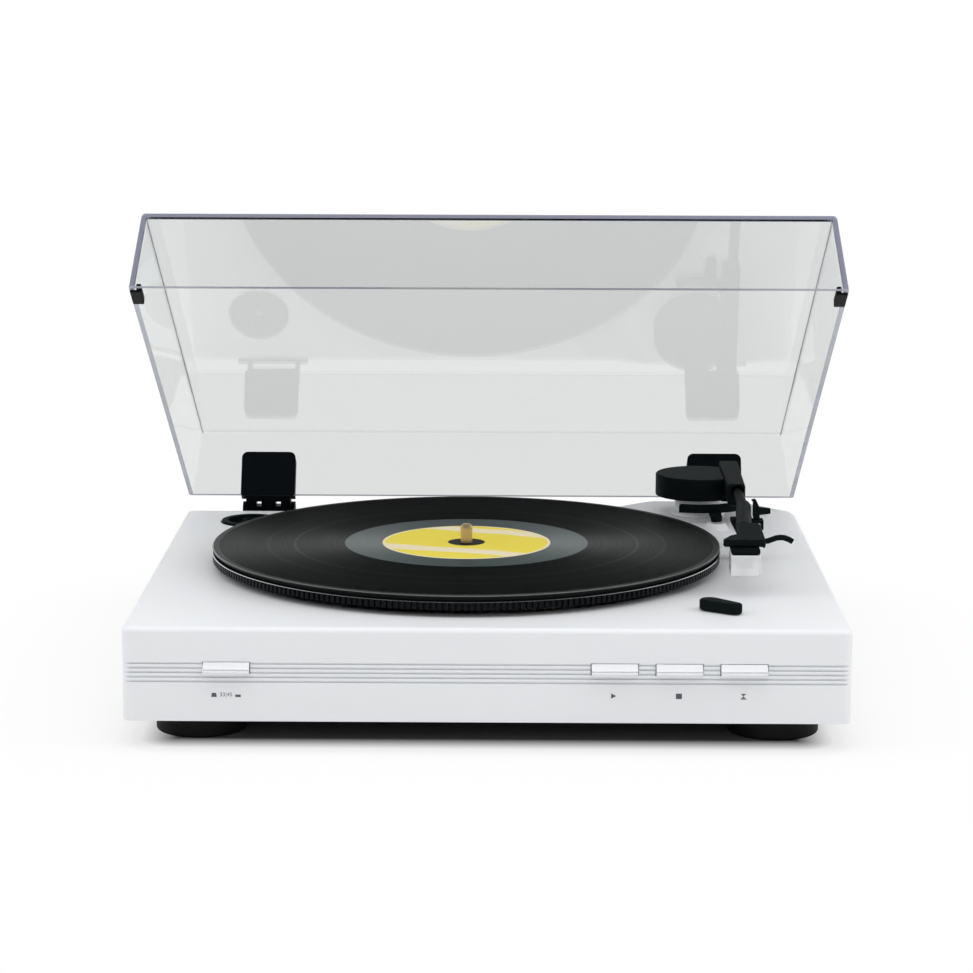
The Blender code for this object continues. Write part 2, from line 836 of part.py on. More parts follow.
def make_feet():
    top = -deck_height - seat_gap
    floor = -stand_height
    rim = foot_radius - foot_ledge_step
    low_edge = arc((rim - foot_edge_radius, floor + foot_edge_radius), foot_edge_radius,
                   0, -math.pi / 2, 3)
    profile = (
        [(0, top), (foot_radius, top), (foot_radius, -deck_height - foot_ledge_drop),
         (rim, -deck_height - foot_ledge_drop - foot_ledge_step)]
        + low_edge
        + [(foot_recess_radius, floor), (foot_recess_radius, floor + foot_recess_depth),
           (0, floor + foot_recess_depth)]
    )
    out = deck_width / 2 - foot_side_inset
    for x, side in ((-out, "left"), (out, "right")):
        for y, end in ((foot_end_inset, "front"), (deck_depth - foot_end_inset, "rear")):
            turned(f"foot_{end}_{side}", deck_frame, profile, black_rubber, round_steps, False,
                   (x, y))


def rib_outline(outer, depth, count):
    """A crest and a valley for each rib round a rim."""
    points = []
    for i in range(2 * count):
        angle = math.pi * i / count
        radius = outer - depth * (i % 2)
        points.append((radius * math.cos(angle), radius * math.sin(angle)))
    return points


def circle(radius, count, centre=(0, 0)):
    return [
        (centre[0] + radius * math.cos(math.tau * i / count),
         centre[1] + radius * math.sin(math.tau * i / count))
        for i in range(count)
    ]


def gear_outline(teeth, root, tip, missing=0, turn=0.0):
    """Trapezoid teeth between a root and a tip radius, with some left out at the angle turn."""
    points = []
    pitch = math.tau / teeth
    first = (missing - 1) / 2
    for i in range(teeth):
        angle = turn + i * pitch
        shares = ((root, -0.27), (tip, -0.13), (tip, 0.13), (root, 0.27))
        if missing and (i <= first or i >= teeth - first):
            shares = ((root, -0.27), (root, 0.27))
        for radius, share in shares:
            points.append((radius * math.cos(angle + share * pitch),
                           radius * math.sin(angle + share * pitch)))
    return points


platter_frame = empty("platter_axis", deck_frame, (*platter_at, 0))


def make_platter():
    inner = platter_radius - platter_rim_width
    disc_bottom = platter_top - platter_disc_thickness
    bore = spindle_radius + running_gap + bush_wall + disc_gap
    crest = platter_radius - rib_set_back
    core = crest - 2 * rib_depth
    lip = platter_top - rim_lip_height
    inside_disc = platter_top - platter_disc_thickness / 2
    platter = turned("platter", platter_frame,
                     [(bore, platter_top), (platter_radius - rib_set_back, platter_top),
                      (platter_radius, platter_top - rim_lip_height / 3), (platter_radius, lip),
                      (core, lip), (core, disc_bottom), (bore, disc_bottom)],
                     black_platter, disc_steps)
    join(
        platter,
        flat("rim_ribs", platter_frame,
             [rib_outline(crest, rib_depth, rib_count), circle(inner, disc_steps)],
             platter_bottom, lip + rim_lip_height / 2),
        ring("drive_ring", platter_frame, drive_ring_radius - drive_ring_wall,
             drive_ring_radius, drive_ring_bottom, inside_disc, None, disc_steps),
        ring("platter_hub", platter_frame, bore, hub_radius, hub_bottom, inside_disc, None,
             small_steps),
    )

    inside = spindle_radius + running_gap
    bush_bottom = hub_bottom - disc_gap
    ring("platter_bush", platter_frame, inside, inside + bush_wall, bush_bottom,
         platter_top - disc_gap, brass, small_steps)
    pitch_radius = gear_module * pinion_teeth / 2
    pinion = flat(
        "drive_pinion", platter_frame,
        [gear_outline(pinion_teeth, pitch_radius - gear_module, pitch_radius + gear_module * 0.8),
         circle(hub_radius + disc_gap, small_steps)],
        gear_bottom, gear_bottom + gear_height, gear_nylon,
    )
    return pinion


def make_mat_and_record():
    bottom = platter_top + disc_gap
    top = bottom + mat_thickness
    hole = record_hole_radius + disc_gap
    turned("platter_mat", platter_frame,
           [(hole, top - mat_label_dip), (label_radius, top - mat_label_dip),
            (label_radius + mat_label_dip, top), (mat_radius, top), (mat_radius, bottom),
            (hole, bottom)],
           black_rubber, disc_steps)
    low = top + disc_gap
    high = low + record_thickness
    groove = high - record_groove_depth
    bead = record_radius - record_bead_width
    turned("record", platter_frame,
           [(record_hole_radius, high - label_recess), (label_radius + disc_gap, high - label_recess),
            (label_radius + disc_gap, high), (run_out_radius, high),
            (run_out_radius + record_groove_depth, groove), (bead, groove), (bead + disc_gap, high),
            (record_radius - record_thickness / 3, high), (record_radius, low + record_thickness / 2),
            (record_radius - record_thickness / 3, low), (record_hole_radius, low)],
           black_vinyl, disc_steps)
    paper = high - label_recess + label_recess / 4
    ring("record_label", platter_frame, record_hole_radius, label_radius, paper,
         paper + label_thickness, yellow_paper, disc_steps)


def make_spindle():
    """A pressed-in brass pin whose collar carries the platter's bush."""
    collar_bottom = well_floor + bearing_boss_height + disc_gap
    dome = arc((spindle_radius - spindle_dome, spindle_top - spindle_dome), spindle_dome,
               math.pi / 2, 0, 5)
    profile = (
        [(0, spindle_top)]
        + dome
        + [(spindle_radius, collar_bottom + spindle_collar_height),
           (spindle_collar_radius, collar_bottom + spindle_collar_height),
           (spindle_collar_radius, collar_bottom), (spindle_radius, collar_bottom),
           (spindle_radius, well_floor - deck_wall - spindle_dome),
           (0, well_floor - deck_wall - spindle_dome)]
    )
    turned("spindle", deck_frame, profile, brass, small_steps, False, platter_at)


def belt_outline(offset):
    """The belt's line round the drive ring and the pulley, offset outwards."""
    big, small = drive_ring_radius + offset, pulley_radius + offset
    place = pulley_place()
    return capsule(platter_at, place, big, small, 40, 9)


def make_drive():
    flat("drive_belt", deck_frame,
         [belt_outline(seat_gap + belt_thickness), belt_outline(seat_gap)],
         belt_bottom, belt_bottom + belt_height, black_rubber)

    motor_at = pulley_place()
    axis = empty("pulley_axis", deck_frame, (*motor_at, 0))
    flange = pulley_radius + pulley_flange
    bottom = belt_bottom - seat_gap
    top = belt_bottom + belt_height + seat_gap
    bore = motor_shaft_radius + disc_gap
    turned("motor_pulley", axis,
           [(bore, top + pulley_flange_height), (flange, top + pulley_flange_height),
            (flange, top), (pulley_radius, top), (pulley_radius, bottom), (flange, bottom),
            (flange, bottom - pulley_flange_height), (bore, bottom - pulley_flange_height)],
           brass, small_steps)
    can_top = well_floor - deck_wall - seat_gap
    rod("motor_shaft", axis, (0, 0, can_top - motor_shaft_depth),
        (0, 0, top + pulley_flange_height), motor_shaft_radius, steel, pin_steps)

    neck_top = can_top + motor_neck_height
    hole = motor_shaft_radius + running_gap
    hole_bottom = can_top - motor_shaft_depth - seat_gap
    turned("motor", deck_frame,
           [(hole, neck_top), (motor_neck_radius, neck_top), (motor_neck_radius, can_top),
            (motor_radius, can_top), (motor_radius, can_top - motor_height),
            (0, can_top - motor_height), (0, hole_bottom), (hole, hole_bottom)],
           steel, small_steps, True, motor_at)


def make_cam_gear():
    """The cycle gear, at rest with its toothless gap at the platter's pinion."""
    axis = empty("cam_axis", deck_frame, (*cam_place(), 0))
    pitch_radius = gear_module * cam_teeth / 2
    root = pitch_radius - gear_module
    rest = cam_gear_angle + math.pi
    bore = cam_post_radius + running_gap
    web_top = gear_bottom + cam_web_thickness
    top = gear_bottom + gear_height
    gear = flat("cam_gear", axis,
                [gear_outline(cam_teeth, root, pitch_radius + gear_module * 0.8, cam_gap_teeth, rest)],
                gear_bottom, top, gear_nylon)
    cut(
        gear,
        ring("cam_hollow", axis, cam_track_radius + cam_track_wall, root - cam_rim_width,
             web_top, top + overrun, steps=round_steps),
        ring("cam_track", axis, cam_hub_radius, cam_track_radius, web_top, top + overrun,
             steps=small_steps),
        rod("cam_bore", axis, (0, 0, gear_bottom - overrun), (0, 0, top + overrun), bore,
            steps=pin_steps),
    )


def make_pedestal():
    low = mound_height + disc_gap
    top = turret_bottom - seat_gap
    bore = arm_shaft_radius + running_gap
    turned("arm_pedestal", deck_frame,
           [(bore, top), (pedestal_radius, top), (pedestal_radius, low + pedestal_foot_height),
            (pedestal_foot_radius, low + pedestal_foot_height / 2), (pedestal_foot_radius, low),
            (bore, low)],
           white_shell, round_steps, True, (arm_x, arm_y))


swing_axis = empty("swing_axis", deck_frame, (arm_x, arm_y, 0))


def make_turret():
    """The round housing that turns on the pedestal and carries the arm at its flat side."""
    corner = turret_radius - turret_edge
    turret = turned("arm_turret", swing_axis,
                    [(0, turret_top), (corner, turret_top), (turret_radius, turret_top - turret_edge),
                     (turret_radius, turret_bottom), (0, turret_bottom)],
                    black_moulding, round_steps, False)
    cut(
        turret,
        box("turret_side", swing_axis, (turret_flat, -2 * turret_radius, 0),
            (2 * turret_radius, 2 * turret_radius, turret_top + overrun)),
        rod("turret_bore", swing_axis, (0, 0, 0), (0, 0, arm_shaft_top + disc_gap),
            arm_shaft_radius + disc_gap),
        rod("turret_pin_hole", swing_axis, (arm_shaft_radius * 2, 0, pitch_axis_height),
            (turret_flat + overrun, 0, pitch_axis_height), pivot_pin_radius + disc_gap,
            steps=pin_steps),
    )
    collar_top = ceiling + mound_height - seat_gap
    turned("arm_shaft", swing_axis,
           [(0, arm_shaft_top), (arm_shaft_radius, arm_shaft_top),
            (arm_shaft_radius, collar_top - deck_wall),
            (arm_shaft_collar, collar_top - deck_wall),
            (arm_shaft_collar, collar_top - 2 * deck_wall),
            (arm_shaft_radius, collar_top - 2 * deck_wall),
            (arm_shaft_radius, arm_shaft_bottom), (0, arm_shaft_bottom)],
           steel, small_steps, False)
    rod("arm_pivot_pin", swing_axis, (arm_shaft_radius * 2 + seat_gap, 0, pitch_axis_height),
        (turret_flat + sleeve_width - sleeve_taper / 2, 0, pitch_axis_height),
        pivot_pin_radius, steel, pin_steps)


arm_line = turret_flat + seat_gap + sleeve_width / 2


def neck_at(y):
    """Where the neck's axis lies over y; it bears inwards from the tube to the headshell."""
    share = (-neck_rear - y) / (neck_front - neck_rear)
    return (arm_line - neck_shift * share, y, tube_axis_height)


def make_arm():
    """The sleeve on its cross pin, and the tube in it."""
    low = Vector((arm_line - sleeve_width / 2, -sleeve_front, sleeve_bottom))
    high = Vector((arm_line + sleeve_width / 2, sleeve_rear, sleeve_top))
    shape = bmesh.new()
    to_place = Matrix.Translation((low + high) / 2) @ Matrix.Diagonal((*(high - low), 1))
    bmesh.ops.create_cube(shape, size=1, matrix=to_place)
    for corner in shape.verts:
        if corner.co.y < 0 and corner.co.x > arm_line:
            corner.co.x -= sleeve_taper
    round_edges(shape, shape.edges[:], sleeve_edge, 2)
    sleeve = from_bmesh("arm_sleeve", shape, swing_axis, black_moulding)
    mouth = capsule((arm_line, tube_axis_height), (arm_line, tube_axis_height + sleeve_mouth_rise),
                    sleeve_mouth_radius, sleeve_mouth_radius)
    cut(
        sleeve,
        rod("sleeve_bore", swing_axis, (arm_line, -sleeve_front + tube_insert, tube_axis_height),
            (arm_line, -sleeve_front - overrun, tube_axis_height), tube_radius + disc_gap),
        flat("sleeve_mouth", swing_axis, [mouth], sleeve_front - sleeve_mouth_depth,
             sleeve_front + overrun, None, lengthways),
        rod("sleeve_pin_hole", swing_axis, (0, 0, pitch_axis_height),
            (arm_line + sleeve_width / 2 + overrun, 0, pitch_axis_height),
            pivot_pin_radius + running_gap, steps=pin_steps),
    )
    rod("arm_tube", swing_axis,
        (arm_line, -sleeve_front + tube_insert - seat_gap, tube_axis_height),
        (arm_line, -neck_rear - neck_socket + seat_gap, tube_axis_height), tube_radius,
        black_moulding, small_steps)
    make_headshell()


def make_headshell():
    """A long neck that bears inwards, and a flat shell that slopes down to its nose."""
    rear = -neck_front
    front = rear - headshell_length
    middle = neck_at(rear)[0]
    left, right = arm_line - headshell_left, arm_line + headshell_right
    corner = 2 * headshell_edge
    outline = [
        (middle - neck_radius, rear), (middle - neck_radius, rear - headshell_length * 0.55),
        (middle - neck_radius - corner, rear - headshell_length * 0.64),
        (middle - neck_radius - 3 * corner, rear - headshell_length * 0.72),
        (left, rear - headshell_length * 0.92), (left, front + corner / 2),
        (left + corner / 2, front), (right - corner / 2, front), (right, front + corner / 2),
        (right, rear - headshell_length * 0.14), (right - corner / 2, rear - headshell_length * 0.05),
        (right - 1.5 * corner, rear),
    ]
    shell = flat("headshell", swing_axis, [outline], headshell_bottom, headshell_top,
                 black_moulding)
    for point in shell.data.vertices:
        if point.co.z > (headshell_bottom + headshell_top) / 2:
            point.co.z -= headshell_nose_drop * (rear - point.co.y) / headshell_length
    bevel = shell.modifiers.new("soft_edges", "BEVEL")
    bevel.width = headshell_edge
    bevel.segments = 2
    bevel.limit_method = "ANGLE"
    bevel.angle_limit = math.radians(50)
    root = Vector(neck_at(rear - neck_root_length))
    join(
        shell,
        rod("neck", swing_axis, neck_at(-neck_rear), neck_at(rear), neck_radius),
        rod("neck_root", swing_axis, neck_at(rear + headshell_edge), root, neck_radius,
            end_radius=neck_root_radius),
        box("skirt", swing_axis,
            (right - skirt_width, front + headshell_length * 0.1, headshell_bottom - skirt_drop),
            (right - disc_gap, rear - headshell_length * 0.3, headshell_bottom + skirt_width)),
    )
    cut(shell, rod("neck_socket", swing_axis,
                   (arm_line, -neck_rear - neck_socket, tube_axis_height),
                   (arm_line, -neck_rear + overrun, tube_axis_height), tube_radius + disc_gap))

    centre = Vector((arm_line - cartridge_left, -cartridge_forward))
    half = Vector((cartridge_width / 2, cartridge_length / 2))
    body = soft_box("cartridge", swing_axis,
                    (centre.x - half.x, centre.y - half.y, cartridge_shoulder),
                    (centre.x + half.x, centre.y + half.y, cartridge_top), guard_wall / 2,
                    black_moulding, 1)
    waist = cartridge_waist_width / 2
    join(body, box("cartridge_waist", swing_axis,
                   (centre.x - waist, centre.y - half.y + guard_wall, cartridge_bottom),
                   (centre.x + waist, centre.y + half.y - guard_wall,
                    (cartridge_shoulder + cartridge_top) / 2)))
    make_stylus(centre, cartridge_bottom - disc_gap)
    make_guard(centre)
    make_finger(rear)


def make_stylus(centre, top):
    half = Vector((stylus_block_width / 2, stylus_block_length / 2))
    low = top - stylus_block_height
    block = box("stylus", swing_axis, (centre.x - half.x, centre.y - half.y, low),
                (centre.x + half.x, centre.y + half.y, top), black_moulding)
    tip = (centre.x, centre.y - half.y, stylus_tip_height + stylus_tip_radius)
    join(
        block,
        rod("cantilever", swing_axis, (centre.x, centre.y + half.y / 2, low + stylus_tip_radius),
            tip, stylus_tip_radius, steps=8),
        rod("stylus_tip", swing_axis, (tip[0], tip[1] + stylus_tip_radius, tip[2] + stylus_tip_radius),
            (tip[0], tip[1] + stylus_tip_radius, stylus_tip_height), stylus_tip_radius, steps=8,
            end_radius=stylus_tip_radius / 3),
    )


def make_guard(centre):
    """A thin box, open at its top and back, that pulls off the cartridge forwards."""
    front = centre.y - cartridge_length / 2 - 2 * guard_wall
    half = guard_width / 2
    guard = box("stylus_guard", swing_axis, (centre.x - half, front, guard_bottom),
                (centre.x + half, front + guard_depth, guard_top), clear_guard)
    bevel = guard.modifiers.new("soft_corners", "BEVEL")
    bevel.width = guard_wall / 2
    bevel.segments = 1
    gap = Vector((half - guard_wall, 0))
    cut(guard, box("guard_inside", swing_axis,
                   (centre.x - gap.x, front + guard_wall, stylus_tip_height - seat_gap / 2),
                   (centre.x + gap.x, front + guard_depth + overrun, guard_top + overrun)))


def make_finger(rear):
    """A curved lift beside the headshell, for the listener's finger."""
    y = rear - headshell_length * 0.62
    start = arm_line + headshell_right + seat_gap
    shares = ((0.0, 0.0), (0.13, 0.08), (0.28, 0.48), (0.44, 0.88), (0.58, 1.0), (0.72, 0.90),
              (0.87, 0.52), (1.0, 0.0))
    curve = bpy.data.curves.new("finger_lift", "CURVE")
    curve.dimensions = "3D"
    curve.bevel_depth = finger_radius
    curve.bevel_resolution = 2
    curve.use_fill_caps = True
    spline = curve.splines.new("POLY")
    spline.points.add(len(shares) - 1)
    for point, (out, up) in zip(spline.points, shares):
        place = (start + out * finger_reach, y, finger_start_height + up * finger_rise)
        point.co = (*place, 1)
    made = bpy.data.objects.new("finger_lift", curve)
    made.parent = swing_axis
    curve.materials.append(black_moulding)
    pieces.objects.link(made)


def make_lift():
    """The curved bar that raises the arm, on its tongue and rod."""
    axis = empty("lift_axis", deck_frame, (arm_x, arm_y, 0))
    middle = lift_bar_radius
    half = lift_bar_width / 2
    outer = arc((0, 0), middle + half, lift_bar_left, lift_bar_right, 13)
    inner = arc((0, 0), middle - half, lift_bar_right, lift_bar_left, 13)
    bottom = lift_bar_top - lift_bar_thickness
    bar = flat("lift_bar", axis, [outer + inner], bottom, lift_bar_top, black_moulding)
    inboard = (lift_tongue_x, -middle + half)
    outboard = (lift_tongue_x, -lift_tongue_reach + lift_tongue_width / 2)
    tongue = flat("lift_tongue", axis,
                  [capsule(inboard, outboard, lift_tongue_width / 2, lift_tongue_width / 2.2)],
                  bottom - lift_tongue_drop, bottom + seat_gap)
    join(bar, tongue)
    rod_at = (lift_tongue_x, -lift_rod_reach)
    cut(bar, rod("rod_socket", axis, (*rod_at, 0), (*rod_at, bottom - lift_tongue_drop / 2),
                 lift_rod_radius + disc_gap, steps=pin_steps))
    rod("lift_rod", axis, (*rod_at, lift_rod_bottom),
        (*rod_at, bottom - lift_tongue_drop / 2 - disc_gap), lift_rod_radius, steel, pin_steps)


def make_armrest():
    """A post with a cradle under the tube, and a clip that holds the tube."""
    x = arm_x + neck_at(rest_y - arm_y)[0]
    low, high = rest_y - rest_depth / 2, rest_y + rest_depth / 2
    cradle_low = rest_post_height
    cradle_top = cradle_low + rest_cradle_height
    half = rest_cradle_width / 2
    rest = flat("armrest", deck_frame, [[
        (x - rest_foot_width / 2, seat_gap), (x + rest_foot_width / 2, seat_gap),
        (x + rest_foot_width / 2, rest_foot_height), (x + rest_post_width / 2, rest_foot_height * 2),
        (x + rest_post_width / 2, cradle_low - rest_foot_height),
        (x + rest_cradle_width * 0.38, cradle_low + rest_foot_height),
        (x + rest_cradle_width * 0.38, cradle_top - rest_foot_height), (x + half * 0.7, cradle_top),
        (x - half, cradle_top), (x - half - seat_gap, cradle_top - rest_foot_height),
        (x - rest_post_width / 2, cradle_low - rest_foot_height),
        (x - rest_post_width / 2, rest_foot_height * 2), (x - rest_foot_width / 2, rest_foot_height),
    ]], -high, -low, black_moulding, lengthways)
    pivot = (x + clip_pivot_out, clip_pivot_height)
    ear = rest_ear_thickness
    reach = clip_hub_radius + seat_gap
    for start in (low, high - ear):
        join(rest, box("rest_ear", deck_frame,
                       (x, start, pivot[1] - reach), (pivot[0] + reach, start + ear, pivot[1] + reach)))
    cut(rest, box("clip_slot", deck_frame,
                  (pivot[0] - reach - rest_ear_gap, low + ear, cradle_low - overrun),
                  (pivot[0] + 2 * reach, high - ear, cradle_top + overrun)))
    tube_at = tube_axis_height
    cut(
        rest,
        rod("rest_hollow", deck_frame, (x, low - overrun, tube_at), (x, high + overrun, tube_at),
            neck_radius + rest_clearance),
        rod("clip_pin_hole", deck_frame, (pivot[0], low - overrun, pivot[1]),
            (pivot[0], high + overrun, pivot[1]), clip_pin_radius + disc_gap, steps=pin_steps),
    )
    rod("clip_pin", deck_frame, (pivot[0], low, pivot[1]), (pivot[0], high, pivot[1]),
        clip_pin_radius, steel, pin_steps)
    make_clip(pivot, low + ear + rest_ear_gap, high - ear - rest_ear_gap)


def make_clip(pivot, low, high):
    """The spring clip beside the tube, with its thumb tab."""
    axis = empty("clip_axis", deck_frame, (pivot[0], rest_y, pivot[1]))
    tube_side = neck_radius + clip_clearance - clip_pivot_out
    blade = clip_blade_thickness
    up = -clip_pivot_height
    clip = flat("arm_clip", axis, [[
        (clip_hub_radius * 0.5, 0), (tube_side + blade + blade, up + clip_tab_bottom),
        (tube_side + blade + clip_tab_reach, up + clip_tab_bottom + clip_tab_height * 0.2),
        (tube_side + blade + clip_tab_reach, up + clip_tab_bottom + clip_tab_height * 0.82),
        (tube_side + blade + blade, up + clip_tab_bottom + clip_tab_height),
        (tube_side + blade, up + clip_blade_top - clip_hook),
        (tube_side + blade / 2, up + clip_blade_top),
        (tube_side - clip_hook, up + clip_blade_top - clip_hook_height / 2),
        (tube_side - clip_hook, up + clip_blade_top - clip_hook_height),
        (tube_side, up + clip_blade_top - clip_hook_height * 1.4),
        (tube_side, up + clip_tab_bottom), (-clip_hub_radius * 0.8, 0),
    ]], rest_y - high, rest_y - low, black_moulding, lengthways)
    join(clip, rod("clip_hub", axis, (0, low - rest_y, 0), (0, high - rest_y, 0),
                   clip_hub_radius, steps=pin_steps))
    cut(clip, rod("clip_bore", axis, (0, -rest_depth, 0), (0, rest_depth, 0),
                  clip_pin_radius + running_gap, steps=pin_steps))


def make_size_lever():
    axis = empty("lever_axis", deck_frame, (lever_x, lever_y, 0))
    end = (lever_arm_length * math.cos(lever_arm_angle), lever_arm_length * math.sin(lever_arm_angle))
    lever = flat("size_lever", axis, [capsule((0, 0), end, lever_radius, lever_arm_radius)],
                 seat_gap, seat_gap + lever_height, black_moulding)
    bevel = lever.modifiers.new("soft_top", "BEVEL")
    bevel.width = lever_edge
    bevel.segments = 1
    bevel.limit_method = "ANGLE"
    bevel.angle_limit = math.radians(50)
    join(lever, rod("lever_stem", axis, (0, 0, -lever_stem_length),
                    (0, 0, seat_gap + lever_height / 2), lever_stem_radius))


def make_buttons():
    """Four push bars in the grooved band, each with a flange and a stem behind it."""
    flange_front = deck_wall + seat_gap
    flange_rear = flange_front + button_flange_thickness
    middle = -button_top - button_height / 2
    for name, x in button_places.items():
        axis = empty(name + "_axis", deck_frame, (x, 0, middle))
        top, low = button_height / 2, -button_height / 2
        half = button_width / 2
        button = flat(name, axis, [[
            (flange_rear, top), (-seat_gap, top),
            (-button_reach + button_step, top - button_slope_drop),
            (-button_reach, top - button_slope_drop - button_step), (-button_reach, low + button_step),
            (-button_reach + button_step, low), (flange_rear, low),
        ]], -half, half, white_button, across)
        margin = button_flange_margin
        join(
            button,
            box(name + "_flange", axis, (-half - margin, flange_front, low - margin),
                (half + margin, flange_rear, top + margin)),
            box(name + "_stem", axis, (-button_stem_width / 2, flange_front, -button_stem_height / 2),
                (button_stem_width / 2, button_stem_length, button_stem_height / 2)),
        )
    guide_front = flange_rear + button_travel + seat_gap * 2
    groups = {
        "speed_button_guide": ["button_speed"],
        "transport_button_guide": ["button_start", "button_stop", "button_lift"],
    }
    for name, held in groups.items():
        places = [button_places[each] for each in held]
        guide = box(name, deck_frame,
                    (min(places) - button_width / 2 - guide_margin, guide_front, middle - guide_drop),
                    (max(places) + button_width / 2 + guide_margin, guide_front + guide_thickness,
                     ceiling - seat_gap), black_base)
        reach = (button_stem_width / 2 + seat_gap, button_stem_height / 2 + seat_gap)
        for x in places:
            cut(guide, box("stem_window", deck_frame, (x - reach[0], 0, middle - reach[1]),
                           (x + reach[0], button_stem_length, middle + reach[1])))


def make_adapter():
    """The loose centre for large-hole singles, lying in its recess."""
    axis = empty("adapter_axis", deck_frame, (adapter_x, adapter_y, 0))
    bottom = -recess_depth + seat_gap
    rim = adapter_radius - adapter_rim
    hub = adapter_hole_radius + adapter_rim / 2
    adapter = turned("adapter_45", axis,
                     [(adapter_hole_radius, adapter_top), (hub, adapter_top),
                      (hub, bottom + adapter_web), (rim, bottom + adapter_web),
                      (rim, adapter_top), (adapter_radius - seat_gap, adapter_top),
                      (adapter_radius, adapter_top - seat_gap), (adapter_radius, bottom),
                      (adapter_hole_radius, bottom)],
                     black_moulding, round_steps)
    spread = math.tau / adapter_slot_count
    for i in range(adapter_slot_count):
        start = i * spread + spread * 0.2
        end = (i + 1) * spread - spread * 0.2
        outer = arc((0, 0), rim - adapter_rim / 3, start, end, 6)
        inner = arc((0, 0), hub + adapter_rim / 3, end, start, 6)
        cut(adapter, flat("adapter_slot", axis, [outer + inner], bottom - overrun,
                          bottom + adapter_web + seat_gap))


cover_axis = empty("cover_axis", deck_frame, (0, hinge_y, -hinge_below), -cover_open_angle)
rear_rim = -hinge_behind
rim_height = hinge_below + cover_rim_gap


def cover_block(name, inset, drop, radius, skin=None):
    """A drafted block with the closed cover's outline, drawn in by inset and down by drop."""
    shape = bmesh.new()
    low_share, high_share = -drop / cover_height, 1 - inset / cover_height
    rings = []
    for share in (low_share, high_share):
        half = cover_width / 2 - inset - cover_side_draft * share
        front = rear_rim - cover_depth + inset + cover_front_draft * share
        rear = rear_rim - inset - cover_rear_draft * share
        z = rim_height + cover_height * share
        rings.append([shape.verts.new(at) for at in
                      ((-half, front, z), (half, front, z), (half, rear, z), (-half, rear, z))])
    low, high = rings
    shape.faces.new(low[::-1])
    shape.faces.new(high)
    for i in range(4):
        shape.faces.new((low[i], low[i - 3], high[i - 3], high[i]))
    lip = [e for e in shape.edges if any(v in high for v in e.verts)]
    round_edges(shape, lip, radius, 3)
    return from_bmesh(name, shape, cover_axis, skin)


def make_cover():
    """A clear shell with drafted walls, drawn closed in the hinge's frame."""
    cover = cover_block("dust_cover", 0, 0, cover_edge_radius, clear_cover)
    cut(cover, cover_block("cover_inside", cover_wall, overrun, cover_edge_radius / 2))


def make_bumpers():
    """Rubber pads in the cover's front corners, which land on the deck."""
    wall_slope = cover_side_draft / cover_height
    inner = cover_width / 2 - cover_wall - wall_slope * bumper_height - seat_gap * 1.5
    front = rear_rim - cover_depth + cover_wall + cover_front_draft
    foot_low = rim_height - bumper_foot
    for side, name in ((-1, "cover_bumper_left"), (1, "cover_bumper_right")):
        near, far = sorted((side * (inner - bumper_width), side * inner))
        pad = box(name, cover_axis, (near, front, foot_low),
                  (far, front + bumper_length, rim_height + bumper_height), black_rubber)
        edge = cover_width / 2 - disc_gap * 3
        near, far = sorted((side * (inner - bumper_width), side * edge))
        join(pad, box(name + "_foot", cover_axis, (near, front, foot_low),
                      (far, front + bumper_length, rim_height - seat_gap / 2)))


def make_hinges():
    for side, name in ((-1, "left"), (1, "right")):
        x = side * hinge_x
        make_hinge_bracket(name, x)
        make_hinge_base(name, x)


def make_hinge_bracket(name, x):
    """The cap on the cover's back wall with its neck and barrel, drawn closed."""
    front = rear_rim + seat_gap
    half = hinge_cap_width / 2
    corner = hinge_cap_corner
    top = rim_height + hinge_cap_height
    outline = (
        [(x - half, rim_height), (x + half, rim_height)]
        + arc((x + half - corner, top - corner), corner, 0, math.pi / 2, 5)
        + arc((x - half + corner, top - corner), corner, math.pi / 2, math.pi, 5)
    )
    cap = flat(f"hinge_bracket_{name}", cover_axis, [outline], -front - hinge_cap_thickness,
               -front, black_moulding, lengthways)
    reach = hinge_neck_width / 2
    rear = front + hinge_cap_thickness
    barrel = hinge_barrel_radius
    neck = flat(f"hinge_neck_{name}", cover_axis, [[
        (front + seat_gap, rim_height - seat_gap), (front + seat_gap, rim_height + barrel),
        (rear - seat_gap, rim_height + barrel), (barrel * 0.6, barrel * 0.8), (0, 0),
        (-barrel * 0.8, -barrel * 0.6),
    ]], x - reach, x + reach, None, across)
    turn = rod(f"hinge_barrel_{name}", cover_axis, (x - reach, 0, 0), (x + reach, 0, 0), barrel)
    join(cap, neck, turn)
    tilt = Matrix.Rotation(-cover_open_angle, 4, "X")
    for place in (x - hinge_window_offset, x + hinge_window_offset):
        window = box("hinge_window", cover_axis,
                     (place - hinge_window_width / 2, 2 * rear_rim, -hinge_window_height / 2),
                     (place + hinge_window_width / 2, 2 * barrel, hinge_window_height / 2))
        rise = rim_height + hinge_window_height / 2
        window.matrix_parent_inverse = Matrix.Translation((0, 0, rise)) @ tilt.inverted()
        cut(cap, window)
    cut(cap, rod(f"hinge_bore_{name}", cover_axis, (x - half - overrun, 0, 0),
                 (x + half + overrun, 0, 0), hinge_pin_radius + running_gap))


